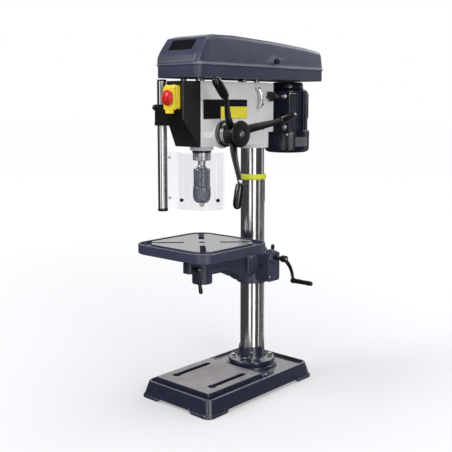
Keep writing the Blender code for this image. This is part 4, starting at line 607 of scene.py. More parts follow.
def column_tube():
    """The tube, the ring above the rack and the two pegs that hold the rack."""
    profile = [(COLUMN_R - 0.004, tube_low.z), (COLUMN_R, tube_low.z), (COLUMN_R, tube_high.z),
        (COLUMN_R - 0.004, tube_high.z)]
    show(lathe("column_fine", profile, CHROME, steps=144, soft=0), "base", "column_tube")
    low, high = box("rack_ring")
    outer = high.x
    inner = COLUMN_R + GAP
    profile = [(inner, low.z), (outer - 0.003, low.z), (outer - 0.0006, low.z + 0.002),
        (outer, low.z + 0.005), (outer, high.z - 0.005), (outer - 0.0006, high.z - 0.002),
        (outer - 0.003, high.z), (inner, high.z)]
    show(lathe("rack_ring_fine", profile, RING_YELLOW, steps=FINE), "base", "rack_ring")
    low, high = box("column_rack")
    for name, z in (("rack_peg_low", low.z + 0.012), ("rack_peg_high", high.z - 0.03)):
        show(lathe(name, [(0, 0), (0.003, 0), (0.0026, 0.0003), (0, 0.0004)], DARK_STEEL, (high.x, 0, z),
            "X", SMALL, 0.0003), "rack")


# ---------------------------------------------------------------- table bracket, arm and table

def bracket():
    """The bracket that climbs the column, with the gearbox, the split clamp and the tilt face."""
    bore = COLUMN_R + 0.0004
    outer = 0.048
    profile = [(outer - 0.001, 0.318), (outer, 0.319), (outer, 0.424), (outer - 0.001, 0.425)]
    body = solid("table_bracket_fine", profile, CASTING_PAINT, steps=FINE)
    side = rounded((-0.029, 0.33), (0.029, 0.42), 0.009, 6)
    gearbox = prism("gearbox", [(-z, y) for y, z in side], 0.0365, 0.088, None, axis="X")
    join(body, gearbox,
        solid("worm_boss", [(0.024, 0.07), (0.0225, 0.089), (0.0195, 0.093), (0.0185, 0.0938)], None,
            (0, 0, WORM_Z), "X"),
        disc("tilt_boss", 0.05, TILT_FACE + GAP, -0.03, None, (0, 0, TILT_Z), "Y", FINE),
        prism("lugs", rounded((-0.014, 0.04), (0.014, 0.077), 0.003, 4), 0.345, 0.399, None))
    cuts = [disc("bore", bore, 0.31, 0.43, None, steps=FINE),
        block("rack_way", (0.02, -0.0078, 0.31), (0.0462, 0.0078, 0.45)),
        disc("axle_bore", 0.0049, -0.04, 0.04, None, (GEAR_X, 0, LIFT_Z), "Y", PLAIN),
        block("split", (-0.0012, 0.032, 0.31), (0.0012, 0.09, 0.45)),
        disc("lock_bore", 0.0044, -0.03, 0.03, None, (0, BRACKET_LOCK_Y, BRACKET_LOCK_Z), "X", SMALL),
        disc("worm_seat", 0.0095, 0.0915, 0.12, None, (0, 0, WORM_Z), "X", PLAIN)]
    subtract(body, *cuts)
    show(body, "bracket", "table_bracket", bevel=0.0016, steps=3)
    show(solid("axle_end", [(0.0044, -0.0275), (0.0044, -0.024)], DARK_STEEL, (GEAR_X, 0, LIFT_Z), "Y",
        SMALL, 0.0003), "lift_gear")
    profile = [(0.04, TILT_FACE + 0.0007), (0.0512, TILT_FACE + 0.0007), (0.0512, TILT_FACE + 0.0036),
        (0.04, TILT_FACE + 0.0036)]
    show(lathe("tilt_scale", profile, GROUND, (0, 0, TILT_Z), "Y", FINE, 0.0003), "bracket")
    for z in (0.345, 0.405):
        screw("gearbox_screw_%d" % round(z * 1000), (0.088, -0.019, z), "X", "bracket", 0.0038, 0.002)


def table_arm():
    """The arm that tilts on the bracket and carries the table in a split boss."""
    face = TILT_FACE
    near = face - 0.016
    arm = solid("table_arm_fine", [(0.0495, face - 0.018), (0.052, face - 0.0155), (0.052, face)],
        CASTING_PAINT, (0, 0, TILT_Z), "Y", FINE)
    beam = []
    for y, half, low, high in ((near, 0.036, 0.348, 0.434), (near - 0.012, 0.0345, 0.351, 0.4345),
            (-0.105, 0.032, 0.3595, 0.4355), (-0.125, 0.029, 0.369, 0.436), (-0.15, 0.027, 0.378, 0.436),
            (-0.185, 0.0262, 0.3768, 0.436), (SPINDLE_Y, 0.026, 0.376, 0.436)):
        beam.append([(x, y, z) for x, z in rounded((-half, low), (half, high), 0.012, 6)])
    join(arm,
        loft("beam", beam, None),
        solid("boss", [(0.0285, 0.35), (0.03, 0.352), (0.03, TABLE_Z - GAP - 0.001), (0.029, TABLE_Z - GAP)],
            None, SPINDLE),
        prism("lugs", rounded((-0.016, SPINDLE_Y - 0.068), (0.016, SPINDLE_Y - 0.022), 0.008, 6), 0.388,
            0.418, None),
        prism("rib", [(-z, y) for y, z in ((-0.112, 0.352), (-0.15, 0.369), (-0.212, 0.3705), (-0.212, 0.4),
            (-0.112, 0.4))], -0.005, 0.005, None, axis="X"))
    subtract(arm,
        disc("stem_bore", 0.0164, 0.34, 0.46, None, SPINDLE),
        block("split", (-0.0015, SPINDLE_Y - 0.08, 0.34), (0.0015, SPINDLE_Y - 0.01, 0.46)),
        disc("lock_bore", 0.0044, -0.03, 0.03, None, (0, TABLE_LOCK_Y, TABLE_LOCK_Z), "X", SMALL),
        block("pocket", (-0.018, near - 0.034, 0.3), (0.018, near - 0.004, TILT_Z + 0.018)),
        disc("bolt_bore", 0.0084, near - 0.01, TILT_FACE + CUT, None, (0, 0, TILT_Z), "Y", SMALL))
    show(arm, "arm", "table_arm", bevel=0.0018, steps=3)


def table():
    """A square table with a gutter, four diagonal slots and ribs below."""
    half = table_high.x
    inner = half - 0.007
    levels = ((0.003, TABLE_Z), (0.0008, TABLE_Z + 0.0012), (0.0, TABLE_Z + 0.004), (0.0, 0.469),
        (0.0006, 0.4704), (0.002, 0.471))
    plate = loft("table_fine", layers((-half, -half), (half, half), 0.055, 20, levels, shrink=1),
        HOUSING_PAINT, SPINDLE)
    floor = TABLE_TOP - 0.01
    levels = ((0.003, floor), (0.0008, floor + 0.002), (0.0, 0.4698), (-0.0008, 0.4715), (-0.0008, 0.475))
    well = loft("well", layers((-inner, -inner), (inner, inner), 0.048, 20, levels, shrink=1), None, SPINDLE)
    subtract(plate, well)
    land, clip = 0.122, 0.087
    outline = [(-clip, -land), (clip, -land), (land, -clip), (land, clip), (clip, land), (-clip, land),
        (-land, clip), (-land, -clip)]
    rings = [[(x * s, y * s, z) for x, y in soften(outline, 0.004)] for s, z in ((1.012, floor - 0.003),
        (1.004, floor + 0.002), (1.0, TABLE_TOP - 0.001), (0.994, TABLE_TOP))]
    top = loft("land", rings, HOUSING_PAINT, SPINDLE)
    top.data.materials.append(GROUND)
    max(top.data.polygons, key=lambda face: face.center.z + face.area).material_index = 1
    join(plate, top,
        disc("stem", 0.016, 0.352, TABLE_Z + 0.002, STEEL, SPINDLE),
        solid("hub", [(0.0295, TABLE_Z - 0.0001), (0.0295, TABLE_Z + 0.003)], HOUSING_PAINT, SPINDLE))
    outer = (land - 0.0175) * sqrt(2) + 0.006
    tools = []
    for index in range(4):
        slot = prism("slot", stadium(0.051, outer, 0.0085), TABLE_Z - CUT, TABLE_TOP + CUT, None, SPINDLE)
        slot.rotation_euler = (0, 0, radians(45 + 90 * index))
        tools.append(slot)
    tools.append(disc("hole", 0.0115, 0.34, 0.48, None, SPINDLE))
    under, turn, hub, lean = half - 0.008, 0.047, 0.038, 0.092
    pocket = [(under, 0.0035), (under, under - turn)]
    pocket += [(under - turn + turn * cos(a * pi / 24), under - turn + turn * sin(a * pi / 24))
        for a in range(1, 13)]
    pocket += [(0.0035, under)]
    for step in range(12, -1, -1):
        angle = lean + (pi / 2 - 2 * lean) * step / 12
        pocket.append((hub * cos(angle), hub * sin(angle)))
    for index in range(4):
        tools.append(prism("pocket", soften(pocket, 0.003), TABLE_Z - CUT, TABLE_Z + 0.0118, None, SPINDLE))
        tools[-1].rotation_euler = (0, 0, radians(90 * index))
    subtract(plate, *tools)
    show(plate, "table", "table", bevel=0.0004)


# ---------------------------------------------------------------- levers and crank

def clamp_lever(name, body, pivot, screw_low, screw_high, drop, lean):
    """Clamp screw with a hub and a tapered lever that ends in a rounded grip."""
    bar = disc(name + "_fine", 0.004, screw_low, screw_high, BLACK, (0, pivot[1], pivot[2]), "X", PLAIN)
    hub = solid("hub", [(0.0068, -0.007), (0.008, -0.0058), (0.008, 0.0058), (0.0068, 0.007)], None, pivot,
        "X", PLAIN)
    run = Vector((0, lean, drop)).normalized()
    length = sqrt(lean ** 2 + drop ** 2)
    course = [(Vector(pivot) + run * length * s, r) for s, r in ((0.0, 0.0042), (0.2, 0.0043),
        (0.45, 0.0046), (0.62, 0.0052), (0.86, 0.006))]
    course += dome(Vector(pivot) + run * (length - 0.006), run, 0.006)
    join(bar, hub, rod("rod", [p for p, r in course], [r for p, r in course], None))
    show(bar, body, name, bevel=0.0003)
    if name == "table_clamp_lever":
        screw(name + "_screw", (pivot[0] + 0.007, pivot[1], pivot[2]), "X", body, 0.0042, 0.0018)


def crank():
    """A bowed arm and its turning grip, on the worm shaft."""
    low = box("crank_arm")[0]
    mid = low.x + 0.009
    grip_low, grip_high = box("crank_grip")
    end = Vector((mid, (grip_low.y + grip_high.y) / 2, (grip_low.z + grip_high.z) / 2))
    reach, drop = end.y, WORM_Z - end.z
    profile = [(0.0095, low.x), (0.0105, low.x + 0.001), (0.0105, mid + 0.008), (0.0095, mid + 0.009)]
    arm = solid("crank_arm_fine", profile, BLACK, (0, 0, WORM_Z), "X", PLAIN)
    path = []
    for index in range(21):
        share = index / 20
        bow = 0.01 * sin(pi * share)
        path.append((mid, reach * share + bow * 0.85, WORM_Z - drop * share + bow * 0.53))
    web = rod("web", path, [0.0068 - 0.0014 * i / 20 for i in range(21)], None, 20, 0.72)
    profile = [(0.0078, mid - 0.005), (0.0085, mid - 0.004), (0.0085, mid + 0.005), (0.0078, mid + 0.006)]
    join(arm, web, solid("end", profile, None, (0, end.y, end.z), "X", PLAIN))
    show(arm, "crank", "crank_arm", bevel=0.0006)
    screw("crank_screw", (mid + 0.009, 0, WORM_Z), "X", "crank", 0.0045, 0.0022)
    radius = (grip_high.z - grip_low.z) / 2
    profile = [(radius - 0.0015, grip_low.x), (radius - 0.0005, grip_low.x + 0.003),
        (radius, grip_low.x + 0.012), (radius - 0.0006, grip_low.x + 0.035), (radius, grip_high.x - 0.01),
        (radius - 0.0006, grip_high.x - 0.003), (radius - 0.003, grip_high.x)]
    show(solid("crank_grip_fine", profile, BLACK, (0, end.y, end.z), "X", PLAIN, 0.0015), "crank_grip",
        "crank_grip")


# ---------------------------------------------------------------- head, cover and switch

def side_plate(name, surface, x, low, high, thick):
    """A thin blank plate on the head's +X face, given by its y and z."""
    outline = [(-z, y) for y, z in rounded(low, high, 0.002, 5)]
    show(prism(name, outline, x - 0.0004, x + thick, surface, axis="X"), "base", bevel=0.0002)


def head():
    """The head casting: box, column sleeve, quill barrel and feed boss, with their bores."""
    half, front, top = HEAD_HALF, HEAD_FRONT, HEAD_TOP
    body = prism("head_casting_fine", rounded((-half, front), (half, 0.02), 0.006, 6), 0.755, top, HEAD_PAINT)
    panel = [(-z, y) for y, z in rounded((front + 0.006, 0.764), (-0.052, 0.897), 0.009, 8)]
    join(body,
        prism("lug", rounded((-half + 0.0004, -0.02), (half - 0.0004, 0.05), 0.014, 8), 0.791, top - 0.001,
            None),
        solid("sleeve", [(0.0475, 0.742), (0.049, 0.7435), (0.049, top - 0.002)], None, steps=FINE),
        prism("panel", panel, 0.044, half + 0.001, None, axis="X"))
    subtract(body, block("chamber", (-half + 0.006, front + 0.006, 0.763),
        (half - 0.006, -COLUMN_R - 0.014, top + CUT)))
    profile = [(0, half - 0.005), (0.0435, half - 0.004), (0.0435, half + 0.0012), (0.0418, half + 0.003),
        (0.041, 0.0552), (0.0402, 0.056), (0, 0.056)]
    join(body,
        solid("barrel", [(0.033, 0.743), (0.034, 0.744), (0.034, top - 0.012)], None, SPINDLE),
        disc("feed_tube", 0.0206, -half + 0.002, 0.053, None, FEED_AXLE, "X", PLAIN),
        lathe("feed_boss", profile, None, FEED_AXLE, "X", FINE))
    bores = [disc("socket", COLUMN_R + GAP, 0.73, 0.8723, None, steps=FINE),
        disc("quill_bore", 0.0264, 0.73, 0.95, None, SPINDLE),
        disc("feed_bore", 0.014, -0.06, 0.06, None, FEED_AXLE, "X", PLAIN),
        disc("tension_bore", 0.0064, half - 0.016, half + CUT, None, (0, TENSION_Y, TENSION_Z), "X", SMALL),
        disc("lock_bore", 0.0044, 0.03, half + CUT, None, (0, SLIDE_LOCK_Y, RODS_Z), "X", SMALL)]
    bores += [disc("rod_bore", 0.0094, -0.06, 0.06, None, (side * RODS_X, 0, RODS_Z), "Y", SMALL)
        for side in (-1, 1)]
    subtract(body, *bores)
    show(body, "base", "head_casting", bevel=0.0011)


def head_fittings():
    """Spacers under the housing, bare plates, the collar below the barrel and two screws."""
    half, front, top = HEAD_HALF, HEAD_FRONT, HEAD_TOP
    for index, (x, y) in enumerate(((-0.03, front + 0.012), (0.03, front + 0.012), (-0.032, -0.02),
            (0.032, -0.02))):
        show(solid("tray_spacer_%d" % index, [(0.0088, top - 0.02), (0.0088, tray_low.z - GAP)], STEEL,
            (x, y, 0), steps=SMALL, soft=0.0005), "base")
    x = half + 0.001
    for name, surface, lift, low, high, thick in (("spec_plate_rim", STEEL, 0, (-0.2755, 0.8335),
            (-0.0865, 0.8895), 0.0003), ("spec_plate_left", GLOSS_BLACK, 0.0003, (-0.2745, 0.8345),
            (-0.2035, 0.8885), 0.0004), ("spec_plate_header", GLOSS_BLACK, 0.0003, (-0.2025, 0.869),
            (-0.0875, 0.8885), 0.0004), ("spec_plate_field", PLATE_YELLOW, 0.0003, (-0.2025, 0.8345),
            (-0.0875, 0.8685), 0.0004), ("white_label", WHITE, 0, (-0.272, 0.782), (-0.2375, 0.799),
            0.0003)):
        side_plate(name, surface, x + lift, low, high, thick)
    profile = [(0.0266, 0.7362), (0.0275, 0.7362), (0.0275, 0.7428), (0.0266, 0.7428)]
    show(lathe("nose_collar", profile, BLACK, SPINDLE, soft=0.0003), "base")
    for name, y, z in (("head_screw_rear", -0.012, 0.8), ("head_screw_top", -0.012, 0.875)):
        screw(name, (half - 0.0004, y, z), "X", "base", 0.0045, 0.0026)


def cover():
    """The black front cover, hollow, with a slanted chin."""
    half, front, back, top = HEAD_HALF, COVER_FRONT, HEAD_FRONT - GAP, cover_high.z
    narrow, chin, chin_back, floor = 0.032, 0.836, 0.05, 0.755
    plan = soften([(-half, back), (-narrow, front), (narrow, front), (half, back)], 0.004, 15.0, 4)
    shell = prism("front_cover_fine", plan, floor, top, BLACK)
    cut = [(front - 0.006, chin), (front, chin), (front + chin_back, floor),
        (front + chin_back, floor - 0.02), (front - 0.006, floor - 0.02)]
    subtract(shell, loft("chin", [[(x, y, z) for y, z in cut] for x in (-0.1, 0.1)], None))
    wall = 0.0025
    slope = (chin - floor) / chin_back
    rise = wall * sqrt(1 + slope * slope)
    room = []
    middle = front + (chin + rise - floor - wall) / slope
    for y in (front + wall, middle, back + CUT):
        share = (y - front - wall) / (back + CUT - front - wall)
        if share > 1:
            continue
        wide = (narrow - wall) + share * (half + 0.0006 - narrow)
        low = max(floor + wall, chin + rise - slope * (y - front))
        room.append([(-wide, y, low), (wide, y, low), (wide, y, top - wall), (-wide, y, top - wall)])
    subtract(shell, loft("room", room, None))
    show(shell, "base", "front_cover", bevel=0.0014, steps=3)


def switch():
    """The yellow switch box with its two button wells and hinge knuckles."""
    box_low, box_high = box("switch_box")
    half = box_high.x
    face = box_low.y
    shell = rounded((-half, box_low.z), (half, box_high.z), 0.005, 6)
    rings = [[(x * s, y, 0.8945 + (z - 0.8945) * s) for x, z in shell] for s, y in ((0.965, face),
        (0.995, face + 0.0008), (1.0, face + 0.002), (1.0, box_high.y))]
    case = loft("switch_box_fine", rings, YELLOW)
    for z in (STOP_Z, 0.911):
        subtract(case, disc("well", 0.0069, face - CUT, face + 0.01, None, (0, 0, z), "Y", PLAIN))
    hinge_y, hinge_z = face - 0.001, box_high.z + 0.0005
    join(case, *[solid("knuckle", [(0.0019, a), (0.0019, b)], None, (0, hinge_y + 0.0012, hinge_z - 0.0006),
        "X", SMALL) for a, b in ((-0.019, -0.011), (0.011, 0.019))])
    show(case, "base", "switch_box", bevel=0.0003)
    switch_flap(half, face, hinge_y, hinge_z)


def switch_flap(half, face, hinge_y, hinge_z):
    """The hinged flap over the switch, with a tab, ribs and a bore for the stop knob."""
    flap_low = box("switch_flap")[0]
    front, back = flap_low.y, face - 0.0014
    low, high, wide = 0.859, hinge_z - 0.0015, half - 0.001
    levels = ((0.0, back), (0.0, front + 0.0042), (0.0016, front + 0.0034), (0.0016, front + 0.0016),
        (0.0024, front + 0.0006), (0.004, front + 0.0003))
    flap = loft("switch_flap_fine", layers((-wide, low), (wide, high), 0.005, 8, levels, True, 0.4), YELLOW)
    tab = []
    for inset, y in ((0.0, back - 0.001), (0.0, front + 0.002), (0.0006, front + 0.0012)):
        corners = (-0.014 + inset, flap_low.z + inset), (0.014 - inset, flap_low.z + 0.013)
        tab.append([(x, y, z) for x, z in rounded(*corners, 0.003, 6)])
    parts = [loft("tab", tab, None),
        solid("knuckle", [(0.0019, -0.0105), (0.0019, 0.0105)], None,
            (0, hinge_y - 0.0006, hinge_z - 0.0014), "X", SMALL)]
    for x in (-0.0188, -0.016, 0.016, 0.0188):
        rings = []
        for share, y in ((1.0, front + 0.001), (1.0, front + 0.0001), (0.7, front - 0.0004)):
            bead = stadium(-0.026 * share, 0.026 * share, 0.0009 * share, 6)
            rings.append([(x + a * share, y, 0.8925 + b) for a, b in bead])
        parts.append(loft("rib", rings, None))
    join(flap, *parts)
    subtract(flap, disc("bore", 0.006, front - 0.01, back + CUT, None, (0, 0, STOP_Z), "Y", SMALL))
    show(flap, "flap", "switch_flap")
    stop_knob(front)


def stop_knob(front):
    """The red mushroom knob with a ridge across it."""
    knob_low, knob_high = box("stop_knob")
    rim = front - 0.004
    tip = knob_low.y
    profile = [(0, tip + 0.0012), (0.006, tip + 0.0014), (0.0105, tip + 0.0023), (0.015, tip + 0.0042),
        (0.0185, tip + 0.0066), (0.0206, rim - 0.0026), (0.0215, rim - 0.0012), (0.0215, rim), (0.0185, rim),
        (0.015, rim - 0.0012), (0.0055, rim - 0.0012), (0.0055, knob_high.y), (0, knob_high.y)]
    knob = lathe("stop_knob_fine", profile, RED, (0, 0, STOP_Z), "Y", FINE)
    ridge = [[(x * s, y, STOP_Z + z * s) for x, z in stadium(-0.012, 0.012, 0.0042, 12)]
        for s, y in ((1.0, tip + 0.005), (1.0, tip + 0.0012), (0.93, tip + 0.0004), (0.8, tip))]
    join(knob, loft("ridge", ridge, None))
    show(knob, "stop_knob", "stop_knob", bevel=0.0003)


# ---------------------------------------------------------------- guard and its post

def fluted(name, radius, depth, count, low, high, surface, at):
    """A bar with shallow flutes along it and rounded ends."""
    def ring(z, inset):
        made = []
        for k in range(count * 8):
            angle = 2 * pi * k / (count * 8)
            r = radius - inset - depth * (0.5 - 0.5 * cos(count * angle))
            made.append((r * cos(angle), r * sin(angle), z))
        return made
    rings = [ring(low, 0.0008), ring(low + 0.0008, 0), ring(high - 0.0008, 0), ring(high, 0.0008)]
    return loft(name, rings, surface, at)


def paint_rim_reflection(piece):
    """The cut top and bottom faces of the clear sheet get an opaque grey-blue: a painted reflection of the
    light their edges catch.
    """
    piece.data.materials.append(CLEAR_EDGE_REFLECTION)
    for face in piece.data.polygons:
        if abs(face.normal.z) > 0.9:
            face.material_index = 1


def post_clamp():
    """The black clamp beside the cover that holds the guard post."""
    clamp_low, clamp_high = box("post_bracket")
    low, high = clamp_low.z, clamp_high.z
    flare = Vector((0.032 - HEAD_HALF, HEAD_FRONT - COVER_FRONT)).normalized()
    outward = Vector((-flare.y, flare.x))
    start = Vector((-0.032, COVER_FRONT))
    near, far = start + flare * 0.01 + outward * GAP, start + flare * 0.05 + outward * GAP
    web = [tuple(near), tuple(far), (POST.x + 0.004, POST.y + 0.0205), (POST.x - 0.004, POST.y - 0.0205)]
    profile = [(0.0205, low), (0.022, low + 0.0015), (0.022, low + 0.012), (0.0212, low + 0.013),
        (0.0212, high - 0.013), (0.022, high - 0.012), (0.022, high - 0.0015), (0.0205, high)]
    clamp = solid("post_bracket_fine", profile, BLACK, POST)
    join(clamp, prism("web", web, low + 0.001, high - 0.001, None))
    subtract(clamp,
        disc("bore", 0.0144, low - CUT, high + CUT, None, POST),
        disc("lock_bore", 0.0034, -0.024, -0.014, None, (POST.x, POST.y, POST_LOCK_Z), "X", SMALL))
    show(clamp, "base", "post_bracket", bevel=0.001)


def guard_post():
    """The fluted post with its foot, cap and lock knob."""
    post = fluted("guard_post_fine", 0.014, 0.0007, 14, post_low.z, post_high.z, CHROME, POST)
    subtract(post, block("groove", (POST.x + 0.0095, POST.y - 0.0018, 0.5),
        (POST.x + 0.02, POST.y + 0.0018, 1.0)))
    show(post, "post", "guard_post", sharp=30)
    foot_low, foot_high = box("post_foot")
    z = foot_low.z
    section = [(0.0125, z), (0.0145, z + 0.001), (0.015, z + 0.0025), (0.015, foot_high.z)]
    show(solid("post_foot_fine", section, BLACK, POST), "post", "post_foot")
    z = post_high.z
    section = [(0, z + 0.0002), (0.0138, z + 0.0002), (0.0138, z + 0.0026), (0.0125, z + 0.0042),
        (0, z + 0.0046)]
    show(lathe("post_cap", section, BLACK, POST), "post")
    knob_low, knob_high = box("post_lock_knob")
    ball, centre = 0.0093, knob_low.x - POST.x + 0.0093
    profile = [(0, centre - ball)] + [(ball * sin(pi * k / 12), centre - ball * cos(pi * k / 12))
        for k in range(1, 10)]
    profile += [(0.0056, centre + 0.0082), (0.0046, centre + 0.0095), (0.003, centre + 0.01),
        (0.003, knob_high.x - POST.x), (0, knob_high.x - POST.x)]
    show(lathe("post_lock_knob_fine", profile, BLACK, (POST.x, POST.y, POST_LOCK_Z), "X", PLAIN, 0.0003),
        "post_lock", "post_lock_knob")


def guard():
    """The clear shield and the inner one that slides behind it, with their screws."""
    centre = (0, SPINDLE_Y)
    radius, thick, first, last = 0.0725, 0.003, 222.0, 380.0
    outer = arc(centre, radius, first, last, 90)
    inner = arc(centre, radius - thick, last, first, 90)
    along = (Vector((POST.x, POST.y)) - Vector(outer[0])).normalized()
    across = Vector((-along.y, along.x))
    tip = Vector((POST.x, POST.y)) - along * (0.014 + GAP)
    flange = [tuple(tip + across * thick / 2), tuple(tip - across * thick / 2)]
    if (Vector(flange[0]) - Vector(inner[-1])).length > (Vector(flange[1]) - Vector(inner[-1])).length:
        flange.reverse()
    shield = prism("guard_shield_fine", outer + inner + flange, guard_low.z, guard_high.z, CLEAR)
    paint_rim_reflection(shield)
    for angle in GUARD_SCREW_ANGLES:
        out = outward(angle)
        subtract(shield, facing(disc("hole", 0.0022, 0.062, 0.083, None, steps=SMALL),
            (0, SPINDLE_Y, GUARD_SCREW_Z), out))
    show(shield, "guard", "guard_shield", bevel=0.0005)
    slide = radius - 0.004
    inner_shield = prism("guard_extension_fine", arc(centre, slide, first + 16, last - 4, 84)
        + arc(centre, slide - 0.0025, last - 4, first + 16, 84), guard_low.z + 0.002, guard_high.z - 0.004,
        CLEAR)
    paint_rim_reflection(inner_shield)
    for angle in GUARD_SCREW_ANGLES:
        slot = prism("slot", stadium(-0.061, 0.061, 0.0025), slide - 0.008, slide + 0.008, None,
            (0, SPINDLE_Y, 0.661))
        slot.rotation_euler = (pi / 2, 0, radians(angle) + pi / 2)
        subtract(inner_shield, slot)
        out = outward(angle)
        spot = (0, SPINDLE_Y, GUARD_SCREW_Z)
        profile = [(0, 0.0655), (0.002, 0.0655), (0.002, radius + GAP), (0.0052, radius + GAP),
            (0.0058, radius + 0.001), (0.0052, radius + 0.004), (0, radius + 0.0044)]
        wing = lathe("guard_screw_%d" % angle, profile, BLACK, steps=SMALL, soft=0.0003)
        show(facing(wing, spot, out), "guard")
    show(inner_shield, "extension", "guard_extension", bevel=0.0004)
    for z in (0.722, GUARD_SCREW_Z):
        spot = tip - along * 0.007
        bolt = solid("flange_screw_%d" % round(z * 1000),
            [(0.0048, 0.0016), (0.0048, 0.003), (0.003, 0.0044)], STEEL, steps=SMALL, soft=0.0004)
        show(facing(bolt, (spot.x, spot.y, z), (-across.x, -across.y, 0)), "guard")


# ---------------------------------------------------------------- quill, spindle and chuck

def quill():
    """The quill with its rack teeth at the back."""
    low, high = box("quill")
    depth = FEED_Y - SPINDLE_Y - 0.0125
    pocket = low.z + 0.014
    profile = [(0.0135, pocket), (0.0206, pocket), (0.0206, low.z), (0.0248, low.z), (0.026, low.z + 0.0012),
        (0.026, low.z + 0.006), (0.0255, low.z + 0.0066), (0.0255, low.z + 0.008), (0.026, low.z + 0.0086),
        (0.026, high.z), (0.0135, high.z)]
    piece = lathe("quill_fine", profile, STEEL, SPINDLE, steps=FINE, soft=0.0003)
    bottom, top = FEED_Z - 0.02, FEED_Z + 0.095
    reach = FEED_Y - SPINDLE_Y - 0.014
    cuts = [block("crest", (-0.009, SPINDLE_Y + depth + 0.0009, bottom), (0.009, SPINDLE_Y + 0.04, top))]
    for side in (-1, 1):
        ends = sorted((side * 0.007, side * 0.04))
        cuts.append(block("flat", (ends[0], SPINDLE_Y + reach, bottom), (ends[1], SPINDLE_Y + 0.04, top)))
    pitch = 2 * pi * 0.0125 / 12
    for index in range(-2, int((top - FEED_Z) / pitch)):
        z = FEED_Z + pitch * index
        notch = [(depth - 0.0018, z - 0.0018), (depth + 0.003, z - 0.0028), (depth + 0.003, z + 0.0028),
            (depth - 0.0018, z + 0.0018)]
        cuts.append(loft("notch", [[(x, SPINDLE_Y + y, h) for y, h in notch] for x in (-0.009, 0.009)], None))
    subtract(piece, *cuts)
    show(piece, "quill", "quill")


def spindle():
    """The spindle, with a collar just above the chuck."""
    top = CHUCK_TOP
    low, high = box("spindle")
    profile = [(0.0082, low.z), (0.0092, top + GAP), (0.015, top + GAP), (0.0155, top + 0.001),
        (0.0155, top + 0.004), (0.0128, top + 0.0062), (0.0115, top + 0.009), (0.0115, 0.73),
        (0.0095, 0.732), (0.0095, high.z - 0.001), (0.0085, high.z)]
    show(solid("spindle_fine", profile, STEEL, SPINDLE, soft=0.0004), "spindle", "spindle")


def knurled(name, profile, count, depth, surface, at):
    """A turned ring whose flagged points are scalloped round the rim."""
    shape = bmesh.new()
    rows = []
    for radius, z, cut in profile:
        row = []
        for k in range(count * 4):
            angle = 2 * pi * k / (count * 4)
            r = radius - cut * depth * (0.5 - 0.5 * cos(count * angle))
            row.append(shape.verts.new((r * cos(angle), r * sin(angle), z)))
        rows.append(row)
    for row, after in zip(rows, rows[1:] + rows[:1]):
        for here in range(len(row)):
            there = (here + 1) % len(row)
            shape.faces.new((row[here], row[there], after[there], after[here]))
    return make(name, shape, surface, at)


def chuck():
    """The chuck body with three jaw channels, and its knurled sleeve."""
    top, split, nose = CHUCK_TOP, box("chuck_sleeve")[1].z, box("chuck_sleeve")[0].z
    core = nose + 0.008
    r = 0.0245
    profile = [(0.0086, top - 0.03), (0.0095, top), (r - 0.0045, top), (r - 0.0012, top - 0.0016),
        (r, top - 0.0042), (r, top - 0.0125), (r - 0.0012, top - 0.0137), (r - 0.0012, top - 0.016),
        (r - 0.0004, top - 0.0168), (r - 0.0004, top - 0.029), (r - 0.0014, top - 0.03),
        (r - 0.0014, top - 0.0318), (r - 0.0004, top - 0.0328), (r - 0.0004, split + 0.0024),
        (r - 0.0016, split + GAP), (0.018, split + GAP), (0.018, core + 0.012), (0.0125, core)]
    body = solid("chuck_body_fine", profile, CHUCK_STEEL, SPINDLE, steps=FINE, soft=0.0003)
    tools = [disc("bore", 0.0042, core - CUT, core + 0.03, None, SPINDLE, steps=SMALL)]
    lean = radians(10.0)
    for index in range(3):
        turn = radians(90 + 120 * index)
        rings = []
        for share in (0.0, 0.077):
            out, z = 0.0044 + share * sin(lean), 0.578 + share * cos(lean)
            rings.append([((out + a) * cos(turn) - b * sin(turn), (out + a) * sin(turn) + b * cos(turn), z)
                for a, b in ((-0.0029, -0.0029), (0.0029, -0.0029), (0.0029, 0.0029), (-0.0029, 0.0029))])
        tools.append(loft("channel", rings, None, SPINDLE))
    subtract(body, *tools)
    show(body, "spindle", "chuck_body")
    R = 0.026
    profile = [(0.0184, split, 0), (R - 0.0012, split, 0), (R - 0.0002, split - 0.0012, 0),
        (R - 0.0002, split - 0.0046, 0), (R - 0.0008, split - 0.0052, 0), (R - 0.0008, split - 0.0062, 0),
        (R, split - 0.007, 1), (R, nose + 0.0195, 1), (R - 0.0008, nose + 0.0185, 0),
        (R - 0.0008, nose + 0.0175, 0), (R - 0.0004, nose + 0.0165, 0), (R - 0.003, nose + 0.007, 0),
        (0.0165, nose + 0.0006, 0), (0.0152, nose, 0), (0.0122, nose, 0), (0.0134, core, 0),
        (0.0184, core + 0.012, 0)]
    show(knurled("chuck_sleeve_fine", profile, 40, 0.0009, CHUCK_STEEL, SPINDLE), "chuck_sleeve",
        "chuck_sleeve", sharp=50)


# ---------------------------------------------------------------- feed

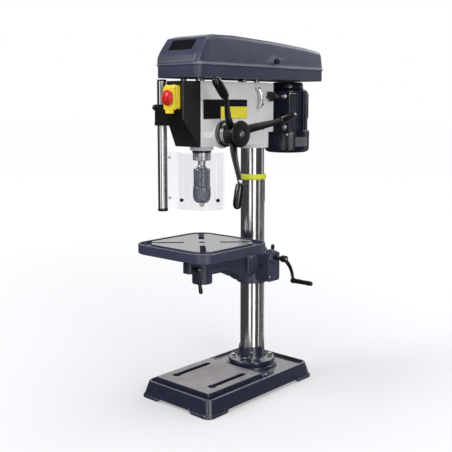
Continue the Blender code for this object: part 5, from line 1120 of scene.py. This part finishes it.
def dial():
    """The black depth dial with white marks, and its steel ring."""
    low, high = box("depth_dial")
    x, end, r = low.x, high.x, 0.0385
    profile = [(0.0094, x), (r - 0.0008, x), (r, x + 0.0008), (r, x + 0.0102), (r - 0.001, x + 0.0112),
        (0.0325, x + 0.0118), (0.0325, x + 0.0105), (0.0094, x + 0.0105)]
    band = lathe("depth_dial_fine", profile, GLOSS_BLACK, FEED_AXLE, "X", FINE, 0.0003)
    show(band, "dial", "depth_dial")
    profile = [(0.0094, x + 0.0107), (0.0322, x + 0.0107), (0.0322, x + 0.0128), (0.0312, x + 0.0136),
        (0.0312, x + 0.0152), (0.032, x + 0.016), (0.032, end - 0.0008), (0.0312, end), (0.0094, end)]
    show(lathe("dial_ring", profile, STEEL, FEED_AXLE, "X", FINE, 0.0003), "dial")
    marks = bmesh.new()
    for index in range(75):
        start, length = (0.0052, 0.0076) if index % 5 == 0 else (0.0062, 0.005)
        turn = Matrix.Rotation(2 * pi * index / 75, 4, "X")
        place = turn @ Matrix.Translation((x + start + 0.0006, 0, r))
        size = Matrix.Diagonal((length, 0.0005, 0.0003, 1.0))
        bmesh.ops.create_cube(marks, size=1.0, matrix=place @ size)
    ticks = make("dial_marks", marks, WHITE, FEED_AXLE)
    show(ticks, "dial")


def feed_hub():
    """The hub that carries the three arms, with a bolt at its middle."""
    low, high = box("feed_hub")
    x, cap = low.x, high.x
    profile = [(0.0093, x), (0.0282, x), (0.0306, x + 0.0018), (0.031, x + 0.004), (0.031, cap - 0.0115),
        (0.0302, cap - 0.0085), (0.029, cap - 0.007), (0.0368, cap - 0.007), (0.0385, cap - 0.0052),
        (0.0385, cap - 0.003), (0.0372, cap - 0.0012), (0.033, cap), (0.012, cap), (0.0112, cap - 0.0008),
        (0, cap - 0.0008), (0, cap - 0.018), (0.0093, cap - 0.018)]
    show(lathe("feed_hub_fine", profile, BLACK, FEED_AXLE, "X", FINE, 0.0006), "feed", "feed_hub")
    hex_bolt("hub_bolt", (cap - 0.001, FEED_Y, FEED_Z), "X", "feed", 0.0105, 0.0056, 0.0085)


def feed_arm(number, degrees_up):
    """One arm that leaves the hub at an angle from straight up, bends outward and carries a grip."""
    out = Vector((0, sin(radians(degrees_up)), cos(radians(degrees_up))))
    sideways = Vector((1, 0, 0)).cross(out)
    stations = ((0.0313, 0.099, 0.014, 0.0095), (0.045, 0.1035, 0.0134, 0.0088),
        (0.06, 0.109, 0.0125, 0.008), (0.08, 0.119, 0.0114, 0.0076), (0.1, 0.13, 0.0105, 0.0072),
        (0.115, 0.1382, 0.0095, 0.007), (0.128, 0.145, 0.0085, 0.0068), (0.14, 0.151, 0.0078, 0.0066))
    rings = []
    for radius, x, wide, thick in stations:
        middle = Vector(FEED_AXLE) + Vector((x, 0, 0)) + out * radius
        rings.append([middle + sideways * wide * cos(t) + Vector((1, 0, 0)) * thick * sin(t)
            for t in (2 * pi * k / 28 for k in range(28))])
    arm = loft("feed_arm_%d_fine" % number, rings, BLACK)
    knee = Vector(FEED_AXLE) + Vector((0.151, 0, 0)) + out * 0.14
    tip = Vector(FEED_AXLE) + Vector((0.156, 0, 0)) + out * 0.214
    course = (tip - knee).normalized()
    length = (tip - knee).length
    stud = facing(disc("stud", 0.005, -0.006, length * 0.75, None, steps=SMALL), knee, course)
    join(arm, stud)
    show(arm, "feed", "feed_arm_%d" % number, bevel=0.0008)
    r = 0.013
    profile = [(0.0053, 0.0012), (r - 0.0045, 0.0012), (r - 0.002, 0.004), (r - 0.0008, 0.01), (r, 0.022),
        (r, length - 0.018), (r - 0.0012, length - 0.01), (r - 0.0042, length - 0.0038),
        (r - 0.0085, length - 0.0006), (0, length), (0, length * 0.76), (0.0053, length * 0.76)]
    grip = lathe("feed_grip_%d_fine" % number, profile, GLOSS_BLACK, steps=PLAIN, soft=0.0016)
    show(facing(grip, knee, course), "feed", "feed_grip_%d" % number)
    if number == 3:
        profile = [(0.0051, -0.0075), (0.0072, -0.0075), (0.0072, 0.001), (0.0051, 0.001)]
        show(facing(lathe("feed_neck", profile, STEEL, steps=SMALL, soft=0.0004), knee, course), "feed")


def spring_housing():
    """The round cap on the left of the head."""
    low, high = box("spring_housing")
    a, b = high.x, low.x
    profile = [(0.0068, a), (0.034, a), (0.034, a - 0.02), (0.0325, a - 0.024), (0.029, b), (0, b),
        (0, b + 0.003), (0.03, b + 0.003), (0.03, a - 0.003), (0.0068, a - 0.003)]
    show(lathe("spring_housing_fine", profile, DARK_STEEL, FEED_AXLE, "X", FINE), "base", "spring_housing")
    screw("spring_screw", (b, FEED_Y, FEED_Z), "X", "base", 0.0075, 0.003, -1)


# ---------------------------------------------------------------- belt housing and pulleys

def lid_stations():
    """Places along the lid as y, draft of the sides and height of the top."""
    f, r, s = TRAY_FRONT, TRAY_REAR, SEAM_Z
    peak, rear = lid_high.z, 1.044
    keys = ((f, 0.0, s + 0.006), (f + 0.01, 0.001, s + 0.028), (f + 0.044, 0.004, peak - 0.01),
        (f + 0.074, 0.005, peak - 0.002), (f + 0.16, 0.006, peak), (f + 0.34, 0.006, peak - 0.007),
        (r - 0.1, 0.006, rear + 0.009), (r - 0.018, 0.006, rear), (r - 0.004, 0.005, rear - 0.014),
        (r, 0.0, s + 0.004))
    ease = [0.028 * (1 - cos(pi / 2 * k / 9)) for k in range(10)]
    places = [f + reach for reach in ease] + [r - reach for reach in ease] + [key[0] for key in keys[2:8]]
    places += [f + 0.036, f + 0.052, f + 0.062, f + 0.11, r - 0.004]
    made = []
    for y in sorted(set(round(p, 6) for p in places)):
        for (y0, d0, t0), (y1, d1, t1) in zip(keys, keys[1:]):
            if y0 - 1e-6 <= y <= y1 + 1e-6:
                share = min(1.0, max(0.0, (y - y0) / (y1 - y0)))
                made.append((y, d0 + (d1 - d0) * share, t0 + (t1 - t0) * share))
                break
    return made


def lid_shell(inset, base):
    """The lid as rings across it, drawn in by an inset and cut level at the base."""
    rings = []
    stations = lid_stations()
    last = len(stations) - 1
    corner = 0.028
    for index, (y, draft, top) in enumerate(stations):
        ahead = max(0.0, 1 - (y - TRAY_FRONT) / corner)
        behind = max(0.0, 1 - (TRAY_REAR - y) / corner)
        turn_in = corner * (1 - sqrt(max(0.0, 1 - max(ahead, behind) ** 2)))
        half = TRAY_HALF - turn_in * 0.8 - inset
        y += inset if index == 0 else -inset if index == last else 0
        crown = top - inset
        height = crown - SEAM_Z
        edge = min(0.014, height * 0.45)
        narrow = half - draft * min(1.0, height / 0.06)
        side = [(half, base), (half, min(base + 0.0045, crown - edge - 0.0005)), (half - 0.0008 if not inset
            else half, min(base + 0.0055, crown - edge - 0.0002))]
        side += [(narrow - edge * (1 - cos(a)), crown - edge * (1 - sin(a)))
            for a in (pi / 2 * k / 6 for k in range(7))]
        rings.append([(-x, y, z) for x, z in side] + [(x, y, z) for x, z in side[::-1]])
    return rings


def tray():
    """The housing below the seam, with a rim and three openings."""
    low, high = (-TRAY_HALF, TRAY_FRONT), (TRAY_HALF, TRAY_REAR)

    def outline(grow, z, corner=0.028):
        return [(x, y, z) for x, y in rounded((low[0] - grow, low[1] - grow),
            (high[0] + grow, high[1] + grow), corner + grow, 14)]

    top = SEAM_Z - GAP
    z = tray_low.z
    levels = ((-0.003, z), (-0.0009, z + 0.0009), (0, z + 0.003), (0, top - 0.0042), (0.001, top - 0.0036),
        (0.0036, top - 0.0034), (0.004, top - 0.0028), (0.004, top - 0.0008), (0.0034, top - 0.0001),
        (0.001, top))
    rings = [outline(grow, level) for grow, level in levels]
    shell = loft("belt_tray_fine", rings, HOUSING_PAINT)
    rings = [outline(-0.002, z + 0.002, 0.026), outline(-0.002, SEAM_Z + CUT, 0.026)]
    subtract(shell, loft("room", rings, None))
    subtract(shell,
        disc("spindle_opening", 0.02, z - CUT, z + 0.01, None, SPINDLE),
        prism("motor_opening", stadium(0.14, 0.197, 0.018), z - CUT, z + 0.01, None),
        disc("idler_opening", 0.0084, z - CUT, z + 0.01, None, (0, -0.04, 0), steps=PLAIN))
    show(shell, "base", "belt_tray", sharp=30)


def lid():
    """The domed lid, hollow."""
    shell = loft("belt_lid_fine", lid_shell(0.0, SEAM_Z), HOUSING_PAINT)
    subtract(shell, loft("lid_room", lid_shell(0.002, SEAM_Z - CUT), None))
    subtract(shell, disc("knob_bore", 0.0054, TRAY_HALF - 0.02, TRAY_HALF + 0.01, None,
        (0, LID_KNOB_Y, LID_KNOB_Z), "X", PLAIN))
    show(shell, "lid", "belt_lid", sharp=24)
    lid_fittings()


def lid_fittings():
    """The bare plate on the front slope, the knob and two hinges."""
    slope = Vector((0, 0.034, 0.045)).normalized()
    out = Vector((0, -slope.z, slope.y))
    middle = Vector((0, TRAY_FRONT + 0.0285, 1.0395)) + out * 0.0002
    plate = prism("lid_plate", rounded((-0.046, -0.0175), (0.046, 0.0175), 0.003, 6), -0.0006, 0.0006,
        GLOSS_BLACK)
    show(facing(plate, middle, out), "lid", bevel=0.0002)
    x = TRAY_HALF + 0.0006
    profile = [(0.005, x - 0.012), (0.005, x), (0.0075, x), (0.0085, x + 0.001), (0.0085, x + 0.0085),
        (0.007, x + 0.011), (0.004, x + 0.012)]
    show(solid("lid_knob_fine", profile, BLACK, (0, LID_KNOB_Y, LID_KNOB_Z), "X", PLAIN), "lid_knob",
        "lid_knob")
    for index, y in enumerate((TRAY_FRONT + 0.1, TRAY_REAR - 0.1)):
        show(solid("lid_hinge_%d" % index, [(0.0022, y - 0.018), (0.0022, y + 0.018)], DARK_STEEL,
            (-TRAY_HALF - 0.0022, 0, SEAM_Z + 0.0002), "Y", SMALL, 0.0004), "base")


def pulleys():
    """Three stepped pulleys; the idler rises where the others fall."""
    for name, body, rising, bore in (("spindle_pulley", "spindle_pulley", False, 0.0099),
            ("motor_pulley", "motor", False, 0.0073), ("idler_pulley", "idler", True, 0.0)):
        low, high = box(name)
        y = (low.y + high.y) / 2
        bottom = high.z - 0.062
        profile = []
        if rising:
            profile += [(0, low.z), (0.0075, low.z), (0.008, low.z + 0.0005), (0.008, bottom)]
        else:
            profile += [(bore, bottom)]
        for step in range(4):
            radius = 0.024 + 0.0095 * (step if rising else 3 - step)
            z = bottom + 0.0155 * step
            profile += [(radius - 0.0006, z + 0.0002), (radius, z + 0.0008), (radius, z + 0.0021),
                (radius - 0.0012, z + 0.0032), (radius - 0.0012, z + 0.0123), (radius, z + 0.0134),
                (radius, z + 0.0147), (radius - 0.0006, z + 0.0153)]
        profile += [(bore, high.z)]
        show(lathe(name + "_fine", profile, ALUMINIUM, (0, y, 0), steps=FINE, soft=0.0), body, name)


# ---------------------------------------------------------------- motor and its fittings

def motor():
    """The finned motor with its end bell and flange."""
    crown = box("motor_body")[1].z
    shaft_a, shaft_b = box("motor_shaft")
    y = (shaft_a.y + shaft_b.y) / 2
    at = (0, y, 0)
    bottom, top = 0.79, 0.916
    count, root, tip = 24, 0.0615, 0.067

    def fins(z, lift):
        made = []
        for fin in range(count):
            start = 2 * pi * (fin + 0.3) / count
            for share, height in ((0.0, 0), (0.18, 0), (0.36, 0), (0.42, 0.1), (0.455, 0.6), (0.49, 0.93),
                    (0.54, 1), (0.71, 1), (0.88, 1), (0.93, 0.93), (0.965, 0.6), (0.995, 0.1)):
                angle = start + share * 2 * pi / count
                r = root + (tip - root) * height - lift
                made.append((r * cos(angle), r * sin(angle), z))
        return made
    rings = [fins(bottom, 0.0015), fins(bottom + 0.0015, 0), fins(top - 0.0015, 0), fins(top, 0.0015)]
    body = loft("motor_body_fine", rings, MOTOR_PAINT, at)
    profile = [(0.0635, top - 0.004), (0.065, top - 0.0025), (0.065, top + 0.0015), (0.0636, top + 0.004),
        (0.056, top + 0.0072), (0.0528, top + 0.0092), (0.052, top + 0.012), (0.052, crown - 0.0075),
        (0.05, crown - 0.003), (0.046, crown - 0.0006), (0.042, crown)]
    join(body,
        solid("bell", profile, None, at, steps=FINE),
        solid("flange", [(0.0712, 0.7873), (0.0721, 0.7882), (0.0721, 0.791), (0.0708, 0.792)], None, at,
            steps=FINE))
    subtract(body, disc("bore", 0.0074, 0.78, crown + CUT, None, at, steps=PLAIN))
    show(body, "motor_mount", "motor_body", sharp=32)
    motor_boxes(y)
    fan_cover(y)
    motor_mount()


def motor_boxes(y):
    """The foot that meets the mount, and the terminal box behind."""
    plate_rear = 0.098
    ends = ((0, plate_rear + GAP), (0, plate_rear + 0.0363))
    foot = loft("motor_foot", layers((-0.068, 0.792), (0.068, 0.913), 0.006, 6, ends, True), MOTOR_PAINT)
    show(foot, "motor_mount", bevel=0.0015, steps=3)
    levels = ((0, y + 0.05), (0, y + 0.0815), (-0.0012, y + 0.082), (-0.0012, y + 0.087),
        (0.0006, y + 0.0888))
    case = loft("terminal_box", layers((-0.06, 0.828), (0.022, 0.912), 0.006, 6, levels, True), MOTOR_PAINT)
    show(case, "motor_mount", bevel=0.0006)
    for index, (x, z) in enumerate(((-0.054, 0.834), (0.016, 0.834), (-0.054, 0.906), (0.016, 0.906))):
        screw("terminal_screw_%d" % index, (x, y + 0.0884, z), "Y", "motor_mount", 0.003, 0.0006)


def fan_cover(y):
    """The cup below the motor, with vents, screws and a bare plate."""
    at = (0, y, 0)
    fan_low, fan_high = box("fan_cover")
    r, z0, seam = 0.0726, fan_low.z, fan_high.z
    wall = 0.002
    profile = [(0.054, z0), (0.06, z0 + 0.0006), (0.066, z0 + 0.0028), (0.07, z0 + 0.0062),
        (0.072, z0 + 0.01), (r, z0 + 0.0145), (r, seam), (r - wall, seam), (r - wall, z0 + 0.014),
        (0.064, z0 + 0.005), (0.054, z0 + wall)]
    cover_piece = solid("fan_cover_fine", profile, MOTOR_PAINT, at, steps=FINE)
    grille = []
    for ring, number in ((0.018, 6), (0.032, 10), (0.046, 14)):
        for k in range(number):
            a = 2 * pi * k / number
            grille.append(disc("vent", 0.0045, z0 - CUT, z0 + 0.004, None,
                (ring * cos(a), y + ring * sin(a), 0), steps=SMALL))
    subtract(cover_piece, *grille)
    show(cover_piece, "motor_mount", "fan_cover")
    for name, angle, z in (("fan_screw_1", -52.0, 0.779), ("fan_screw_2", 38.0, 0.779),
            ("fan_screw_3", 128.0, 0.779)):
        out = outward(angle)
        profile = [(0, -0.0008), (0.0042, -0.0008), (0.004, 0.0008), (0.0026, 0.0017), (0, 0.0018)]
        head_piece = lathe(name, profile, STEEL, steps=SMALL, soft=0.0004)
        show(facing(head_piece, (r * out[0], y + r * out[1], z), out), "motor_mount")
    patch = []
    for z in (0.741, 0.771):
        edge = [(0.0729 * cos(radians(a)), 0.0729 * sin(radians(a)), z) for a in range(-30, 13, 2)]
        patch.append(edge + [(0.0724 * cos(radians(a)), 0.0724 * sin(radians(a)), z)
            for a in range(12, -31, -2)])
    show(loft("motor_plate", patch, LABEL, at), "motor_mount")


def motor_mount():
    """The plate on two rods that carries the motor, with four bolts."""
    mount_low, mount_high = box("motor_mount")
    side = mount_high.x
    levels = ((0.0012, 0.088), (0.0, 0.0892), (0.0, 0.0968), (0.0012, 0.098))
    mount = loft("motor_mount_fine", layers((-side, 0.786), (side, 0.917), 0.014, 8, levels, True, 1),
        MOTOR_PAINT)
    join(mount, *[disc("rod", 0.009, mount_low.y, 0.09, STEEL, (s * RODS_X, 0, RODS_Z), "Y", PLAIN)
        for s in (-1, 1)])
    show(mount, "motor_mount", "motor_mount", sharp=30)
    for index, (x, z) in enumerate(((-0.057, 0.804), (0.057, 0.804), (-0.057, 0.9), (0.057, 0.9))):
        hex_bolt("motor_bolt_%d" % index, (x, 0.088, z), "Y", "motor_mount", 0.0105, 0.0065, 0.0085, -1)


def tension_lever():
    """The bowed lever that holds the belt tension."""
    side = HEAD_HALF
    y, z = TENSION_Y, TENSION_Z
    lever = solid("tension_lever_fine", [(0.006, side - 0.014), (0.006, side + 0.0125),
        (0.005, side + 0.014)], CHROME, (0, y, z), "X", PLAIN, 0.0004)
    course = []
    for k in range(15):
        share = k / 14
        bow = 0.01 * sin(pi * share)
        course.append(((side + 0.01 + bow * 0.7 + 0.004 * share, y + bow * 0.3, z - 0.052 * share),
            0.005 - 0.0004 * sin(pi * share) + 0.0009 * share ** 4))
    course += dome(course[-1][0], (0, 0, -1), 0.0059)[1:]
    join(lever, rod("rod", [p for p, r in course], [r for p, r in course], None, 24))
    show(lever, "tension", "tension_lever", bevel=0.0004)


def slide_lock_knob():
    """The lobed knob that locks the motor slide."""
    side = HEAD_HALF
    lobes = [((0.0135 + 0.0028 * cos(5 * a)) * cos(a), (0.0135 + 0.0028 * cos(5 * a)) * sin(a))
        for a in (2 * pi * k / 100 for k in range(100))]
    rings = [[(x * s, yy * s, h) for x, yy in lobes] for s, h in ((0.9, side + 0.006), (0.98, side + 0.0072),
        (1.0, side + 0.009), (1.0, side + 0.0165), (0.96, side + 0.0188), (0.86, side + 0.02))]
    knob = loft("slide_lock_knob_fine", rings, BLACK, (0, SLIDE_LOCK_Y, RODS_Z), "X")
    join(knob, disc("screw", 0.004, 0.0398, side + 0.01, None, (0, SLIDE_LOCK_Y, RODS_Z), "X", SMALL))
    show(knob, "slide_lock", "slide_lock_knob", sharp=45)


def press():
    """Every sub-part, from the floor up."""
    for build in (base, rivets, column, column_tube, bracket, table_arm, table):
        build()
    clamp_lever("table_clamp_lever", "table_lock", (0.034, TABLE_LOCK_Y, TABLE_LOCK_Z), -0.02, 0.036, -0.074,
        0.014)
    clamp_lever("bracket_clamp_lever", "bracket_lock", (0.03, BRACKET_LOCK_Y, BRACKET_LOCK_Z), -0.02, 0.032,
        0.058, 0.004)
    for build in (crank, head, head_fittings, cover, switch, post_clamp, guard_post, guard, quill, spindle,
            chuck, dial, feed_hub):
        build()
    for index, degrees_up in enumerate((-44.0, 76.0, 196.0)):
        feed_arm(index + 1, degrees_up)
    for build in (spring_housing, tray, lid, pulleys, motor, tension_lever, slide_lock_knob):
        build()


press()


# ---------------------------------------------------------------- studio

def stage_piece(name, shape, surface):
    mesh = bpy.data.meshes.new(name)
    shape.to_mesh(mesh)
    shape.free()
    mesh.materials.append(surface)
    made = bpy.data.objects.new(name, mesh)
    bpy.context.scene.collection.objects.link(made)
    return made


VIEW_BEARING = -50.0
REFLECTORS = (   # name, bearing, distance, width, lower and upper edge, strength
    ("strip_left", VIEW_BEARING - 19.0, 3.2, 1.1, -2.5, 3.0, 1.7),
    ("strip_right", VIEW_BEARING + 22.0, 3.0, 1.05, -2.5, 3.0, 2.6),
    ("strip_far", VIEW_BEARING + 118.0, 3.0, 1.6, -2.5, 3.0, 0.55),
    ("back_card", VIEW_BEARING + 180.0, 3.4, 5.0, 1.02, 3.4, 1.3))
LAMP_AIM = Vector((0, -0.05, 0.55))
LAMPS = (   # name, place, width and height, power
    ("key", (-1.2, -2.4, 2.3), (1.2, 1.2), 46), ("fill", (2.6, -1.3, 1.5), (0.9, 1.6), 34),
    ("top", (0.2, 0.2, 3.0), (1.8, 1.8), 30), ("back", (0.6, 2.4, 2.2), (1.6, 1.0), 24))
EYE = Vector((1.554, -1.853, 0.877))   # from the foot of the column
EYE_TURN, EYE_TILT = 41.94, 7.01       # degrees from straight ahead, and downward
LENS, LENS_SHIFT = 61.65, -0.06        # millimetres on a 36 mm sensor, and the shift of the picture


def reflector(name, bearing, far, wide, low, high, strength):
    """An upright strip that only shows as a reflection; bearing is the way to it from the column."""
    n = Nodes(name)
    n.set(Base_Color=(0, 0, 0, 1), Emission_Color=(1.0, 0.985, 0.97, 1.0), Emission_Strength=strength)
    shape = bmesh.new()
    for x, z in ((-wide / 2, low), (wide / 2, low), (wide / 2, high), (-wide / 2, high)):
        shape.verts.new((x, 0, z))
    shape.faces.new(shape.verts)
    made = stage_piece(name, shape, n.material)
    turn = radians(bearing)
    made.location = COLUMN + Vector((far * cos(turn), far * sin(turn), 0))
    made.rotation_euler = (0, 0, turn + pi / 2)
    made.visible_camera = made.visible_diffuse = made.visible_transmission = False
    made.visible_shadow = made.visible_volume_scatter = False


def studio():
    """The floor, the reflectors and the lamps."""
    shape = bmesh.new()
    bmesh.ops.create_grid(shape, x_segments=1, y_segments=1, size=30.0)
    floor = stage_piece("floor", shape, floor_material())
    floor.location.z = -0.0005
    floor.visible_glossy = False
    surroundings()
    for strip in REFLECTORS:
        reflector(*strip)
    for lamp in LAMPS:
        area_lamp(*lamp)


def surroundings():
    """White to the camera, a soft grey light on surfaces and nearly black in reflections."""
    world = bpy.data.worlds.new("studio")
    bpy.context.scene.world = world
    world.use_nodes = True
    tree = world.node_tree
    tree.nodes.clear()
    out = tree.nodes.new("ShaderNodeOutputWorld")
    path = tree.nodes.new("ShaderNodeLightPath")
    backgrounds = []
    for colour, strength in (((1, 1, 1, 1), 1.0), ((0.93, 0.95, 1.0, 1), 0.5), ((0.93, 0.93, 1.0, 1), 0.07)):
        node = tree.nodes.new("ShaderNodeBackground")
        node.inputs["Color"].default_value = colour
        node.inputs["Strength"].default_value = strength
        backgrounds.append(node)
    seen, lit, mirrored = backgrounds
    dim = tree.nodes.new("ShaderNodeMixShader")
    blend = tree.nodes.new("ShaderNodeMixShader")
    tree.links.new(path.outputs["Is Glossy Ray"], dim.inputs[0])
    tree.links.new(lit.outputs[0], dim.inputs[1])
    tree.links.new(mirrored.outputs[0], dim.inputs[2])
    tree.links.new(path.outputs["Is Camera Ray"], blend.inputs[0])
    tree.links.new(dim.outputs[0], blend.inputs[1])
    tree.links.new(seen.outputs[0], blend.inputs[2])
    tree.links.new(blend.outputs[0], out.inputs["Surface"])


def area_lamp(name, at, size, power):
    lamp = bpy.data.lights.new(name, "AREA")
    lamp.shape = "RECTANGLE"
    lamp.size, lamp.size_y = size
    lamp.energy = power
    made = bpy.data.objects.new(name, lamp)
    bpy.context.scene.collection.objects.link(made)
    made.location = at
    made.rotation_euler = (LAMP_AIM - Vector(at)).to_track_quat("-Z", "Y").to_euler()


def floor_material():
    """White to the camera, with the object's shadow kept as a soft grey."""
    n = Nodes("floor_white")
    n.set(Base_Color=(0.5, 0.5, 0.51, 1.0), Roughness=0.95, Specular_IOR_Level=0.0)
    out = n.tree.nodes["Material Output"]
    glow = n.add("ShaderNodeEmission")
    place = n.add("ShaderNodeNewGeometry")
    far = n.add("ShaderNodeVectorMath")
    far.operation = "LENGTH"
    rise = n.add("ShaderNodeMapRange")
    for socket, value in (("From Min", 0.4), ("From Max", 3.5), ("To Min", 0.3), ("To Max", 0.75)):
        rise.inputs[socket].default_value = value
    n.link(place.outputs["Position"], far.inputs[0])
    n.link(far.outputs["Value"], rise.inputs["Value"])
    n.link(rise.outputs["Result"], glow.inputs["Strength"])
    path = n.add("ShaderNodeLightPath")
    none = n.add("ShaderNodeEmission")
    none.inputs["Strength"].default_value = 0.0
    blend = n.add("ShaderNodeMixShader")
    total = n.add("ShaderNodeAddShader")
    n.link(path.outputs["Is Camera Ray"], blend.inputs[0])
    n.link(none.outputs[0], blend.inputs[1])
    n.link(glow.outputs[0], blend.inputs[2])
    n.link(n.shader.outputs[0], total.inputs[0])
    n.link(blend.outputs[0], total.inputs[1])
    n.link(total.outputs[0], out.inputs["Surface"])
    return n.material


def camera():
    """The camera, at the height of the head and to the right of the front."""
    lens = bpy.data.cameras.new("camera")
    made = bpy.data.objects.new("camera", lens)
    bpy.context.scene.collection.objects.link(made)
    made.location = COLUMN + EYE
    turn, tilt = radians(EYE_TURN), radians(EYE_TILT)
    back = Vector((sin(turn) * cos(tilt), -cos(turn) * cos(tilt), sin(tilt)))
    made.rotation_mode = "QUATERNION"
    made.rotation_quaternion = (-back).to_track_quat("-Z", "Y")
    lens.sensor_width = 36.0
    lens.lens = LENS
    lens.shift_y = LENS_SHIFT
    bpy.context.scene.camera = made


studio()
camera()
bpy.context.scene.view_settings.view_transform = "Standard"
